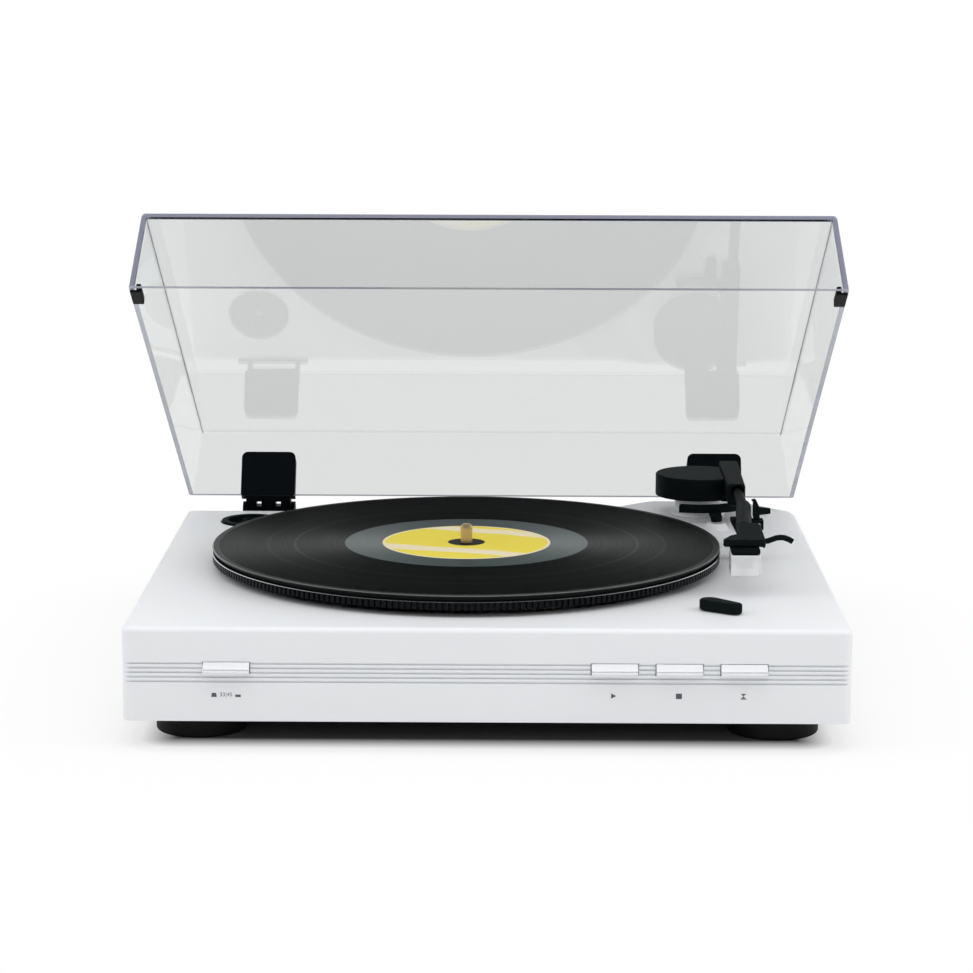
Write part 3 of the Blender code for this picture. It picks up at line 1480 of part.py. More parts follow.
def make_hinge_base(name, x):
    """The fixed block on the plinth's back, with two ears round the barrel."""
    level = -hinge_below
    back = deck_depth + seat_gap
    half = hinge_plate_width / 2
    top = level + hinge_plate_top
    base = box(f"hinge_base_{name}", deck_frame, (x - half, back, top - hinge_plate_height),
               (x + half, back + hinge_plate_thickness, top), black_moulding)
    inner = hinge_neck_width / 2 + seat_gap
    outer = inner + hinge_ear_thickness
    for side in (-1, 1):
        near, far = sorted((x + side * inner, x + side * outer))
        join(
            base,
            box("hinge_ear", deck_frame, (near, back + hinge_plate_thickness / 2,
                                          level - 2 * hinge_ear_radius), (far, hinge_y, top)),
            rod("ear_end", deck_frame, (near, hinge_y, level), (far, hinge_y, level),
                hinge_ear_radius),
        )
    cut(base, rod("ear_bore", deck_frame, (x - half - overrun, hinge_y, level),
                  (x + half + overrun, hinge_y, level), hinge_pin_radius + disc_gap))
    rod(f"hinge_pin_{name}", deck_frame, (x - outer, hinge_y, level), (x + outer, hinge_y, level),
        hinge_pin_radius, steel)


def board_centre_y():
    return inside_rear - seat_gap - board_depth / 2


def make_electrics():
    """Line sockets, the power inlet and a line switch, on the board behind the back wall."""
    level = -socket_drop
    board_top = -board_drop + board_thickness / 2
    half = Vector((board_width / 2, board_depth / 2))
    board = box("circuit_board", deck_frame,
                (board_x - half.x, board_centre_y() - half.y, -board_drop - board_thickness / 2),
                (board_x + half.x, board_centre_y() + half.y, board_top), green_board)
    chip_y = board_centre_y() - half.y / 2
    for share in (-0.3, 0.05, 0.36):
        chip_x = board_x + share * board_width
        join(board, box("chip", deck_frame,
                        (chip_x - chip_width / 2, chip_y - chip_depth / 2,
                         board_top - board_thickness / 2),
                        (chip_x + chip_width / 2, chip_y + chip_depth / 2,
                         board_top + chip_height)))
    for side, name in ((-1, "line_socket_left"), (1, "line_socket_right")):
        x = socket_x + side * socket_pitch / 2
        shell = rod(name, deck_frame, (x, inside_rear - socket_body_depth, level),
                    (x, deck_depth + socket_length, level), socket_shell_radius, steel)
        out = deck_depth + seat_gap
        join(
            shell,
            rod("socket_flange", deck_frame, (x, out, level),
                (x, out + socket_flange_thickness, level), socket_flange_radius),
            box("socket_leg", deck_frame,
                (x - socket_shell_radius, inside_rear - socket_body_depth, board_top + disc_gap),
                (x + socket_shell_radius, inside_rear - seat_gap, level)),
        )
        cut(shell, rod("socket_bore", deck_frame, (x, deck_depth, level),
                       (x, deck_depth + socket_length + overrun, level), socket_bore_radius))
    reach = inlet_width / 2
    inlet = box("power_inlet", deck_frame,
                (inlet_x - reach, deck_depth - inlet_depth, level - reach),
                (inlet_x + reach, deck_depth, level + reach), black_moulding)
    join(inlet, box("inlet_leg", deck_frame,
                    (inlet_x - reach, deck_depth - inlet_depth, board_top + disc_gap),
                    (inlet_x + reach, inside_rear - seat_gap, level)))
    face = deck_depth
    cut(inlet, ring("inlet_bore", None, inlet_pin_radius, inlet_bore_radius, 0, 2 * overrun,
                    steps=small_steps))
    bore = inlet.modifiers[-1].object
    bore.parent = deck_frame
    bore.location = (inlet_x, face - inlet_bore_depth, level)
    bore.rotation_euler.x = -math.pi / 2
    make_switch(level)


def make_switch(level):
    axis = empty("switch_axis", deck_frame, (switch_x, deck_depth, level))
    knob = (switch_knob_width / 2, switch_knob_height / 2)
    left = -switch_travel / 2
    front = inside_rear - seat_gap - deck_depth
    slider = box("line_switch", axis, (left - knob[0], front - seat_gap, -knob[1]),
                 (left + knob[0], switch_knob_reach, knob[1]), black_moulding)
    reach = (switch_slot_width / 2 + switch_travel, switch_slot_height / 2 + seat_gap * 3)
    join(slider, box("switch_slide", axis, (left - reach[0], front - 2 * deck_wall, -reach[1]),
                     (left + reach[0], front, reach[1])))


make_deck_shell()
make_base_plate()
make_feet()
make_platter()
make_mat_and_record()
make_spindle()
make_drive()
make_cam_gear()
make_pedestal()
make_turret()
make_arm()
make_lift()
make_armrest()
make_size_lever()
make_buttons()
make_adapter()
make_cover()
make_bumpers()
make_hinges()
make_electrics()
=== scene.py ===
"""The look of an automatic belt-drive turntable in white and black, with its dust cover open."""

import json
import math

import bmesh
import bpy
from mathutils import Matrix, Vector

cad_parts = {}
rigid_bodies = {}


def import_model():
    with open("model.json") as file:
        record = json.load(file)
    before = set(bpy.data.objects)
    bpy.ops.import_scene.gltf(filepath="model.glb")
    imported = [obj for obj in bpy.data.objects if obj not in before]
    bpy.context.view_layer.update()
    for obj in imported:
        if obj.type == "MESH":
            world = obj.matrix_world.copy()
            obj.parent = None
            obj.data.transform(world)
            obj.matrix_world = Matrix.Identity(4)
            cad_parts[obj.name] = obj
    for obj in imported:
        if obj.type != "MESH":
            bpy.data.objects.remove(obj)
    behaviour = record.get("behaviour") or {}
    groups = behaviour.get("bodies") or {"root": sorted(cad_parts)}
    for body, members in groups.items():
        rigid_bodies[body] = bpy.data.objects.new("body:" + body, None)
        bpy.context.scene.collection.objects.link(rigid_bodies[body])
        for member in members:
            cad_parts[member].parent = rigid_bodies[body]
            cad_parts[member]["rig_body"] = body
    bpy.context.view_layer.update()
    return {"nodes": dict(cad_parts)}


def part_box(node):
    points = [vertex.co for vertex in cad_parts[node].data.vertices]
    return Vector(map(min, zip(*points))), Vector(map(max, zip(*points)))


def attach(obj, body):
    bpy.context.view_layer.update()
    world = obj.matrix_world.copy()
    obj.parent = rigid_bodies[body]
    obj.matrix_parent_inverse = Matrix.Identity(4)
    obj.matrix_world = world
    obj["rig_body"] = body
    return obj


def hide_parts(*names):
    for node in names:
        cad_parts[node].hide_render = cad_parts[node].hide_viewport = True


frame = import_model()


# Camera and studio. The camera stands where the photograph was taken from, low and square to the
# front. Soft lamps hang over the turntable and stand at its sides and in front of it, and a pale
# floor keeps the shadow. The backdrop is white to the camera and through clear plastic.
def placed(name, data):
    """A new object of the scene that shows these data."""
    made = bpy.data.objects.new(name, data)
    bpy.context.scene.collection.objects.link(made)
    return made


camera_data = bpy.data.cameras.new("camera")
camera_data.lens = 111.316
camera_data.sensor_width = 36
camera_data.sensor_fit = "HORIZONTAL"
camera_data.clip_start = 0.05
camera_data.clip_end = 60
camera = placed("camera", camera_data)
bpy.context.scene.camera = camera
eye = (0.0117, -1.7628565, 0.4309)
pitch, yaw, roll = math.radians(10.246), math.radians(-0.438), math.radians(0.176)
ahead = Vector((math.sin(yaw) * math.cos(pitch), math.cos(yaw) * math.cos(pitch), -math.sin(pitch)))
rightwards = Vector((math.cos(yaw), -math.sin(yaw), 0))
upwards = rightwards.cross(ahead)
across_view = rightwards * math.cos(roll) + upwards * math.sin(roll)
up_view = upwards * math.cos(roll) - rightwards * math.sin(roll)
stance = Matrix((across_view, up_view, -ahead)).transposed().to_4x4()
camera.matrix_world = Matrix.Translation(eye) @ stance

bpy.context.scene.view_settings.view_transform = "Standard"


def wired(tree, *links):
    """Joins sockets, each link being (from node, output, to node, input)."""
    for source, output, target, entry in links:
        tree.links.new(source.outputs[output], target.inputs[entry])


def node(tree, kind, values=None, **settings):
    """A new node of this kind, with its properties and then the values of its inputs set."""
    made = tree.nodes.new("ShaderNode" + kind)
    for name, value in settings.items():
        setattr(made, name, value)
    for entry, value in (values or {}).items():
        made.inputs[entry].default_value = value
    return made


def ranged(tree, low, high, lowest=0.0, highest=1.0):
    """A node that maps low to high onto lowest to highest and stays between them."""
    return node(tree, "MapRange", {"From Min": low, "From Max": high, "To Min": lowest,
                                   "To Max": highest})


def seen_rays(tree):
    """1 for camera, gloss and transmission rays, 0 for the rays that light the object."""
    path = node(tree, "LightPath")
    first = node(tree, "Math", operation="MAXIMUM")
    last = node(tree, "Math", operation="MAXIMUM")
    wired(tree, (path, "Is Camera Ray", first, 0), (path, "Is Glossy Ray", first, 1),
          (first, 0, last, 0), (path, "Is Transmission Ray", last, 1))
    return last


world = bpy.data.worlds.new("white_studio")
bpy.context.scene.world = world
world.use_nodes = True
room = world.node_tree
room.nodes.clear()
room_light = node(room, "Background", {"Color": (1, 1, 1, 1)})
direction = node(room, "SeparateXYZ")
fill_level = ranged(room, 0.05, 0.6, 0.18, 0.74)
gloss_level = ranged(room, 0.15, 0.6, 1.0, 0.10)
back_level = ranged(room, -0.6, 0.2, 0.15)
gloss = node(room, "Math", operation="MULTIPLY")
bounced = node(room, "Mix", data_type="FLOAT")
shown = node(room, "Mix", {"B": 1}, data_type="FLOAT")
room_path = node(room, "LightPath")
dulled = node(room, "Math", {1: 1}, operation="MINIMUM")
met = node(room, "Math", operation="MAXIMUM")
still_glossy = node(room, "Math", operation="SUBTRACT", use_clamp=True)
first_clear = node(room, "Math", operation="SUBTRACT", use_clamp=True)
straight = node(room, "Math", operation="MAXIMUM")
wired(room, (node(room, "TexCoord"), "Generated", direction, 0),
      (direction, "Z", fill_level, "Value"), (direction, "Z", gloss_level, "Value"),
      (direction, "Y", back_level, "Value"), (gloss_level, 0, gloss, 0),
      (back_level, 0, gloss, 1), (fill_level, 0, bounced, "A"), (gloss, 0, bounced, "B"),
      (room_path, "Diffuse Depth", dulled, 0), (room_path, "Is Glossy Ray", still_glossy, 0),
      (dulled, 0, still_glossy, 1), (still_glossy, 0, bounced, "Factor"),
      (dulled, 0, met, 0), (room_path, "Glossy Depth", met, 1),
      (room_path, "Is Transmission Ray", first_clear, 0), (met, 0, first_clear, 1),
      (room_path, "Is Camera Ray", straight, 0), (first_clear, 0, straight, 1),
      (straight, 0, shown, "Factor"),
      (bounced, 0, shown, "A"), (shown, 0, room_light, "Strength"),
      (room_light, 0, node(room, "OutputWorld"), "Surface"))


def soft_lamp(name, place, aim, width, depth, power):
    """A rectangular softbox at place, facing aim, seen by no camera, gloss or clear plastic."""
    data = bpy.data.lights.new(name, "AREA")
    data.shape = "RECTANGLE"
    data.size, data.size_y, data.energy = width, depth, power
    lamp = placed(name, data)
    lamp.location = place
    lamp.rotation_euler = (Vector(aim) - Vector(place)).to_track_quat("-Z", "Y").to_euler()
    lamp.visible_camera = lamp.visible_glossy = lamp.visible_transmission = False


def meshed(name, shape):
    """A mesh of this name made from a shape, which is then used up."""
    mesh = bpy.data.meshes.new(name)
    shape.to_mesh(mesh)
    shape.free()
    return mesh


soft_lamp("top_softbox", (0, -0.35, 1.85), (0, 0, 0.05), 2.4, 1.6, 14.5)
soft_lamp("front_softbox", (0, -1.8, 0.6), (0, 0, 0.07), 1.6, 0.7, 3.4)
soft_lamp("left_softbox", (-1.5, -0.4, 1.0), (0, 0, 0.05), 0.9, 0.9, 6)
soft_lamp("right_softbox", (1.5, -0.4, 1.0), (0, 0, 0.05), 0.9, 0.9, 7.5)

floor_shape = bmesh.new()
bmesh.ops.create_grid(floor_shape, x_segments=1, y_segments=1, size=14)
studio_floor = placed("studio_floor", meshed("studio_floor", floor_shape))
shaded_half, fading_reach, painted_shade_reach = (0.17, 0.16, 0), 0.16, 0.035
floor_paint = bpy.data.materials.new("studio_floor")
floor_paint.use_nodes = True
paint = floor_paint.node_tree
paint.nodes.clear()
matt = node(paint, "BsdfDiffuse")
glow = node(paint, "Emission", {"Strength": 1})
both = node(paint, "MixShader")
where = node(paint, "TexCoord")
outside = node(paint, "VectorMath", operation="ABSOLUTE")
beyond = node(paint, "VectorMath", {1: shaded_half}, operation="SUBTRACT")
positive = node(paint, "VectorMath", operation="MAXIMUM")
reach = node(paint, "VectorMath", operation="LENGTH")
span = ranged(paint, 0, fading_reach)
fade = node(paint, "ValToRGB")
fade.color_ramp.elements.new(0.13).color = (0.72, 0.72, 0.72, 1)
strength = node(paint, "Math", operation="MULTIPLY")
# The floor's own colour is darkened under the turntable and up to 35 mm round it, from 0.25 to
# 0.80: painted shade over its real shadow.
painted_floor_shade = ranged(paint, 0, painted_shade_reach, 0.25, 0.80)
wired(paint, (where, "Object", outside, 0), (outside, 0, beyond, 0), (beyond, 0, positive, 0),
      (positive, 0, reach, 0), (reach, "Value", span, "Value"), (span, 0, fade, "Fac"),
      (fade, 0, strength, 0),
      (reach, "Value", painted_floor_shade, "Value"), (painted_floor_shade, 0, matt, "Color"),
      (seen_rays(paint), 0, strength, 1), (strength, 0, both, "Fac"), (matt, 0, both, 1),
      (glow, 0, both, 2), (both, 0, node(paint, "OutputMaterial"), "Surface"))
studio_floor.data.materials.append(floor_paint)


# Plinth. One white ABS moulding, finely grained and open below, with a well under the platter, an
# adapter recess, five front grooves and a low rise under the tonearm. Sizes are measured from the
# middle of its front top edge, and each finished mesh is moved from there to its place.
mm = 0.001
deck_height = 52 * mm
deck_low, deck_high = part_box("deck_shell")
deck_width = deck_high.x - deck_low.x
deck_depth = deck_high.y - deck_low.y
deck_origin = Vector((0, deck_low.y, deck_low.z + deck_height))
platter_at = Vector((-13.6, 176.7)) * mm


def moulding_grain():
    """The fine grain and slow drift of tone of a plastic moulding."""
    group = bpy.data.node_groups.new("moulding_grain", "ShaderNodeTree")
    sockets = (("Colour", "NodeSocketColor", None), ("Roughness", "NodeSocketFloat", 0.4),
               ("Fineness", "NodeSocketFloat", 900.0), ("Drift", "NodeSocketFloat", 0.03))
    for name, kind, value in sockets:
        socket = group.interface.new_socket(name, in_out="INPUT", socket_type=kind)
        if value is not None:
            socket.default_value = value
    for name, kind in (("Colour", "NodeSocketColor"), ("Roughness", "NodeSocketFloat"),
                       ("Height", "NodeSocketFloat")):
        group.interface.new_socket(name, in_out="OUTPUT", socket_type=kind)
    given = group.nodes.new("NodeGroupInput")
    result = group.nodes.new("NodeGroupOutput")
    coords = node(group, "TexCoord")
    grain = node(group, "TexNoise", {"Detail": 3})
    slow = node(group, "TexNoise", {"Scale": 9, "Detail": 1.5})
    centred = node(group, "Math", {1: 0.5}, operation="SUBTRACT")
    spread = node(group, "Math", operation="MULTIPLY")
    level = node(group, "Math", {1: 1}, operation="ADD")
    tone = node(group, "VectorMath", operation="SCALE")
    rough_level = ranged(group, 0, 1, 0.86, 1.14)
    rough = node(group, "Math", operation="MULTIPLY")
    wired(group, (coords, "Object", grain, "Vector"), (given, "Fineness", grain, "Scale"),
          (coords, "Object", slow, "Vector"), (slow, "Fac", centred, 0), (centred, 0, spread, 0),
          (given, "Drift", spread, 1), (spread, 0, level, 0), (given, "Colour", tone, 0),
          (level, 0, tone, "Scale"), (tone, 0, result, "Colour"), (grain, "Fac", rough_level, 0),
          (rough_level, 0, rough, 0), (given, "Roughness", rough, 1),
          (rough, 0, result, "Roughness"), (grain, "Fac", result, "Height"))
    return group


grain_group = moulding_grain()


def painted(name):
    """A new material, with its node tree and its Principled surface."""
    material = bpy.data.materials.new(name)
    material.use_nodes = True
    return material, material.node_tree, material.node_tree.nodes["Principled BSDF"]


def moulded(name, colour, roughness, gloss, drift, fineness=1400, relief=0.006):
    """A plastic, rubber or cast surface with its grain; relief is the grain's height in mm."""
    material, tree, surface = painted(name)
    surface.inputs["Specular IOR Level"].default_value = gloss
    grain = node(tree, "Group", {"Colour": (*colour, 1), "Roughness": roughness,
                                 "Fineness": fineness, "Drift": drift}, node_tree=grain_group)
    bump = node(tree, "Bump", {"Strength": 0.5, "Distance": relief * mm})
    wired(tree, (grain, "Colour", surface, "Base Color"),
          (grain, "Roughness", surface, "Roughness"), (grain, "Height", bump, "Height"),
          (bump, 0, surface, "Normal"))
    return material


def spun(profile, centre=(0, 0), steps=128):
    """A shape turned about an upright axis at centre from (radius, height) points."""
    shape = bmesh.new()
    verts = [shape.verts.new((centre[0] + radius, centre[1], z)) for radius, z in profile]
    edges = [shape.edges.new(pair) for pair in zip(verts, verts[1:])]
    bmesh.ops.spin(shape, geom=verts + edges, cent=(*centre, 0), axis=(0, 0, 1), angle=math.tau,
                   steps=steps, use_merge=True)
    bmesh.ops.remove_doubles(shape, verts=shape.verts, dist=0.001 * mm)
    bmesh.ops.recalc_face_normals(shape, faces=shape.faces)
    return shape


def rounded(corners, steps=6):
    """Points of an outline whose corners are (x, y, radius), with an arc at each radius over 0."""
    points = []
    for i, (x, y, radius) in enumerate(corners):
        here = Vector((x, y))
        if radius == 0:
            points.append(here)
            continue
        back = (Vector(corners[i - 1][:2]) - here).normalized()
        forth = (Vector(corners[(i + 1) % len(corners)][:2]) - here).normalized()
        half = back.angle(forth) / 2
        middle = here + (back + forth).normalized() * radius / math.sin(half)
        start = here + back * radius / math.tan(half) - middle
        sweep = start.angle_signed(here + forth * radius / math.tan(half) - middle)
        points += [middle + Matrix.Rotation(-sweep * k / steps, 2) @ start
                   for k in range(steps + 1)]
    return points


def slab(outline, low, high, turn=None):
    """A flat shape of even thickness; turn sets it in another plane than the floor's."""
    shape = bmesh.new()
    face = shape.faces.new([shape.verts.new((x, y, low)) for x, y in outline])
    raised = bmesh.ops.extrude_face_region(shape, geom=[face])["geom"]
    bmesh.ops.translate(shape, vec=(0, 0, high - low),
                        verts=[v for v in raised if isinstance(v, bmesh.types.BMVert)])
    if turn is not None:
        bmesh.ops.transform(shape, matrix=turn, verts=shape.verts)
    bmesh.ops.recalc_face_normals(shape, faces=shape.faces)
    return shape


def softened(shape, edges, radius, steps=3):
    """Rounds these edges of the shape."""
    bmesh.ops.bevel(shape, geom=edges, offset=radius, offset_type="OFFSET", segments=steps,
                    profile=0.5, affect="EDGES", material=-1, clamp_overlap=True)


def block(low, high, radius=0.0):
    """A box from corner to corner, with all its edges rounded where a radius is given."""
    low, high = Vector(low), Vector(high)
    shape = bmesh.new()
    bmesh.ops.create_cube(shape, size=1, matrix=Matrix.Translation((low + high) / 2)
                          @ Matrix.Diagonal((*(high - low), 1)))
    if radius:
        softened(shape, shape.edges[:], radius)
    return shape


def bar(start, end, radius, steps=48):
    """A round bar between two places."""
    start, end = Vector(start), Vector(end)
    along = end - start
    turn = along.to_track_quat("Z", "Y").to_matrix().to_4x4()
    shape = bmesh.new()
    bmesh.ops.create_cone(shape, cap_ends=True, segments=steps, radius1=radius, radius2=radius,
                          depth=along.length,
                          matrix=Matrix.Translation((start + end) / 2) @ turn)
    return shape


def post(at, low, high, radius, steps=48):
    """A round bar that stands upright at a place on the deck."""
    return bar((*at, low), (*at, high), radius, steps)


def in_mm(*points):
    """The points of a profile, given in millimetres."""
    return [tuple(value * mm for value in point) for point in points]


def uprights(shape):
    """The edges of a shape that run up and down."""
    return [e for e in shape.edges if abs(e.verts[0].co.z - e.verts[1].co.z) > mm]


def joined(*shapes):
    """Several shapes as one mesh, for pieces that are moulded together."""
    whole = shapes[0]
    for shape in shapes[1:]:
        spare = meshed("spare", shape)
        whole.from_mesh(spare)
        bpy.data.meshes.remove(spare)
    return whole


def carved(shape, *tools, way="DIFFERENCE"):
    """The shape with the tools taken out, joined on or met, by exact Booleans."""
    made = [placed("carving", meshed("carving", each)) for each in (shape, *tools)]
    for tool in made[1:]:
        step = made[0].modifiers.new("carve", "BOOLEAN")
        step.operation, step.solver, step.object = way, "EXACT", tool
    result = made[0].evaluated_get(bpy.context.evaluated_depsgraph_get()).to_mesh()
    shape = bmesh.new()
    shape.from_mesh(result)
    for each in made:
        mesh = each.data
        bpy.data.objects.remove(each)
        bpy.data.meshes.remove(mesh)
    return shape


def stand(name, shape, look, body, *nodes, soft=0.0, crease=32):
    """Sets a shape in its place as a piece of this body, in place of the CAD nodes given."""
    bmesh.ops.translate(shape, vec=deck_origin, verts=shape.verts)
    mesh = meshed(name, shape)
    mesh.shade_smooth()
    mesh.set_sharp_from_angle(angle=math.radians(crease))
    mesh.materials.append(look)
    piece = placed(name, mesh)
    if soft:
        bevel = piece.modifiers.new("soft_edges", "BEVEL")
        bevel.width, bevel.segments, bevel.limit_method = soft, 2, "ANGLE"
        bevel.angle_limit = math.radians(crease)
        bevel.harden_normals = True
    weighing = piece.modifiers.new("flat_faces_stay_flat", "WEIGHTED_NORMAL")
    weighing.keep_sharp = True
    weighing.weight = 100
    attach(piece, body)
    if nodes:
        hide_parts(*nodes)
    return piece


white_abs = moulded("white_abs", (0.80, 0.815, 0.835), 0.42, gloss=0.35, drift=0.015)
plinth = block((-deck_width / 2, 0, -deck_height), (deck_width / 2, deck_depth, 0))
softened(plinth, uprights(plinth), 5 * mm, 8)
softened(plinth, [e for e in plinth.edges if min(v.co.z for v in e.verts) > -mm], 3 * mm, 6)
wall = 3 * mm
cavity = block((-deck_width / 2 + wall, wall, -deck_height - wall),
               (deck_width / 2 - wall, deck_depth - wall, -16 * mm), mm)
overrun = 9 * mm
well = post(platter_at, -13 * mm, overrun, 140 * mm, 160)
adapter_at = Vector((-152.5, 303)) * mm
recess = post(adapter_at, -4.6 * mm, overrun, 19.6 * mm, 96)
groove_depth, groove_below, groove_above = 1.1 * mm, 0.55 * mm, 0.45 * mm
grooves = [block((-deck_width, -overrun, z * mm - groove_below),
                 (deck_width, groove_depth, z * mm + groove_above))
           for z in (-19.9, -22.4, -24.9, -27.4, -29.9)]
button_xs = {"button_speed": -140.8, "button_start": 69.2, "button_stop": 104.2,
             "button_lift": 139.2}
opening_half = 13
openings = [block(((x - opening_half) * mm, -overrun, -25.7 * mm),
                  ((x + opening_half) * mm, overrun, -18.9 * mm)) for x in button_xs.values()]
rear_z, rear_inside, rear_outside = -26, deck_depth - overrun, deck_depth + overrun
rear = [bar((x * mm, rear_inside, rear_z * mm), (x * mm, rear_outside, rear_z * mm), 4.4 * mm)
        for x in (-95, -81)]
rear += [block(((x - half_width) * mm, rear_inside, (rear_z - half_height) * mm),
               ((x + half_width) * mm, rear_outside, (rear_z + half_height) * mm))
         for x, half_width, half_height in ((-52, 5, 2), (-28, 5.8, 5.8))]
lift_at, lift_bore = (140.2 * mm, 250 * mm), 2.3 * mm
lever_at, motor_at = (123.3 * mm, 49.5 * mm), (-114.06 * mm, 234.7 * mm)
holes = [post(at, -30 * mm, 20 * mm, radius)
         for at, radius in ((lift_at, lift_bore), (lever_at, 3.1 * mm), (motor_at, 9 * mm))]
plinth = carved(plinth, cavity, well, recess, *grooves, *openings, *rear, *holes)
stand("plinth_shell", plinth, white_abs, "chassis", "deck_shell", soft=0.12 * mm)

rise_at, arm_at = Vector((131, 300)) * mm, Vector((131.5, 295.5)) * mm
rise = spun(in_mm((0, -1), (79.5, -1)) + rounded(
    in_mm((79.5, -0.2, 0), (78, 0, 24), (45, 8, 16), (0, 8, 0)), 8), rise_at, 160)
inset = 4.6 * mm
limit = block((0, 0, -5 * mm), (deck_width / 2 - inset, deck_depth - inset, 30 * mm))
softened(limit, uprights(limit), 3 * mm, 6)
rise = carved(rise, limit, way="INTERSECT")
rise = carved(rise, post(platter_at, -overrun, 30 * mm, 154 * mm, 256),
              post(lift_at, -overrun, 20 * mm, lift_bore),
              post(arm_at, -overrun, 20 * mm, 5.5 * mm))
stand("arm_rise", rise, white_abs, "chassis", soft=0.3 * mm)
lift_boss = spun(in_mm((2.3, 0), (2.3, 10.6)) + rounded(
    in_mm((2.3, 10.6, 0), (5.4, 10.6, 0.8), (8, 6.6, 2.5), (14, 4.4, 2), (14, 1, 0)), 6),
    lift_at, 96)
stand("lift_boss", lift_boss, white_abs, "chassis")


# Base plate and feet. The plate is a black moulding with vent slots, screwed under the plinth from
# inside its wall. Each foot is a round rubber-covered cup with a ledge near its top and a soft
# lower edge; the four are spun shapes, screwed through the plate.
black_base = moulded("black_base", (0.016, 0.016, 0.017), 0.62, gloss=0.2, drift=0.1, relief=0.02)
foot_rubber = moulded("foot_rubber", (0.010, 0.010, 0.011), 0.7, gloss=0.22, fineness=900,
                      drift=0.15, relief=0.02)


def dressed(name, source, look, soft=0.0):
    """A CAD node's own solid as a piece, with its facets merged and its edges softened."""
    body = frame["nodes"][source]["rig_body"]
    shape = bmesh.new()
    shape.from_mesh(frame["nodes"][source].data)
    bmesh.ops.remove_doubles(shape, verts=shape.verts, dist=0.01 * mm)
    bmesh.ops.dissolve_limit(shape, angle_limit=math.radians(1), verts=shape.verts,
                             edges=shape.edges)
    bmesh.ops.translate(shape, vec=-deck_origin, verts=shape.verts)
    return stand(name, shape, look, body, source, soft=soft)


dressed("vented_plate", "base_plate", black_base, soft=0.3 * mm)
foot_top, foot_floor, cup_top = -52.3, -67, -62
foot_profile = rounded(in_mm(
    (0, foot_top, 0), (26, foot_top, 0.6), (26, -55.4, 0.3), (25.2, -56.2, 0.3),
    (25.2, foot_floor, 1.6), (7, foot_floor, 0.8), (7, cup_top, 0), (0, cup_top, 0)), 5)
for side, x in (("left", -159), ("right", 159)):
    for end, y in (("front", 45), ("rear", 296)):
        stand(f"cup_foot_{end}_{side}", spun(foot_profile, (x * mm, y * mm), 96), foot_rubber,
              "chassis", f"foot_{end}_{side}")


# Rear electrics. Two phono sockets with turned shells, a slide switch and a black power inlet show
# at the back; the fibreglass board inside carries their leads. The shells are plated brass.
def turned_metal(name, colour, roughness, metallic=1.0):
    """A bright metal with the fine rings that a lathe or a die leaves, and faint cloudiness."""
    material, tree, surface = painted(name)
    surface.inputs["Metallic"].default_value = metallic
    coords = node(tree, "TexCoord")
    rings = node(tree, "TexWave", {"Scale": 2600, "Distortion": 1.5, "Detail": 2},
                 bands_direction="Z")
    cloud = node(tree, "TexNoise", {"Scale": 160})
    tint = node(tree, "MixRGB", {"Color1": (*colour, 1),
                                 "Color2": (*(0.82 * part for part in colour), 1)})
    level = ranged(tree, 0, 1, roughness * 0.8, roughness * 1.25)
    bump = node(tree, "Bump", {"Strength": 0.15, "Distance": 0.004 * mm})
    wired(tree, (coords, "Object", rings, "Vector"), (coords, "Object", cloud, "Vector"),
          (cloud, "Fac", tint, "Fac"), (tint, 0, surface, "Base Color"), (cloud, "Fac", level, 0),
          (level, 0, surface, "Roughness"), (rings, "Fac", bump, "Height"),
          (bump, 0, surface, "Normal"))
    return material


nickel = turned_metal("nickel_plate", (0.66, 0.64, 0.60), 0.22)
black_plug = moulded("black_plug", (0.012, 0.012, 0.013), 0.45, gloss=0.3, drift=0.1)
green_resist = moulded("green_resist", (0.02, 0.13, 0.05), 0.4, gloss=0.4, fineness=700,
                       drift=0.3, relief=0.02)
for side in ("left", "right"):
    dressed(f"phono_socket_{side}", f"line_socket_{side}", nickel, soft=0.15 * mm)
dressed("slide_switch", "line_switch", black_plug, soft=0.2 * mm)
dressed("inlet_block", "power_inlet", black_plug, soft=0.25 * mm)
dressed("leads_board", "circuit_board", green_resist)


# Front buttons. Four white push bars with a sloping top and a stepped lip stand out of the grooved
# band, each on a stem through a black guide behind the wall. Their small grey signs are printed on
# the front below them: speed marks at the left, then start, stop and lift.
button_abs = moulded("button_abs", (0.78, 0.79, 0.81), 0.40, gloss=0.4, drift=0.015)
sideways = Matrix(((0, 0, 1, 0), (1, 0, 0, 0), (0, 1, 0, 0), (0, 0, 0, 1)))
facing = Matrix(((1, 0, 0, 0), (0, 0, -1, 0), (0, 1, 0, 0), (0, 0, 0, 1)))
button_profile = rounded(in_mm(
    (4.9, -19.2, 0), (-0.3, -19.2, 0.5), (-4.3, -22.3, 0.2), (-3.6, -23.0, 0.1),
    (-5, -23.3, 0.2), (-5, -24.3, 0.3), (-3.2, -26.2, 0.3), (-3.2, -25.4, 0.1),
    (4.9, -25.4, 0)), 4)
bodies_of_buttons = {"button_speed": "speed_button", "button_start": "start_button",
                     "button_stop": "stop_button", "button_lift": "lift_button"}
face_half, flange_half, stem_half, behind = 12.5, 14.5, 4.5, 3.3 * mm
for name, x in button_xs.items():
    face = slab(button_profile, (x - face_half) * mm, (x + face_half) * mm, sideways)
    flange = block(((x - flange_half) * mm, behind, -27.4 * mm),
                   ((x + flange_half) * mm, 4.9 * mm, -17.2 * mm))
    stem = block(((x - stem_half) * mm, behind, -24.1 * mm),
                 ((x + stem_half) * mm, 18 * mm, -20.5 * mm))
    stand(name.replace("button", "push_bar"), joined(face, flange, stem), button_abs,
          bodies_of_buttons[name], name, soft=0.22 * mm)
dressed("left_guide", "speed_button_guide", black_base, soft=0.2 * mm)
dressed("right_guide", "transport_button_guide", black_base, soft=0.2 * mm)

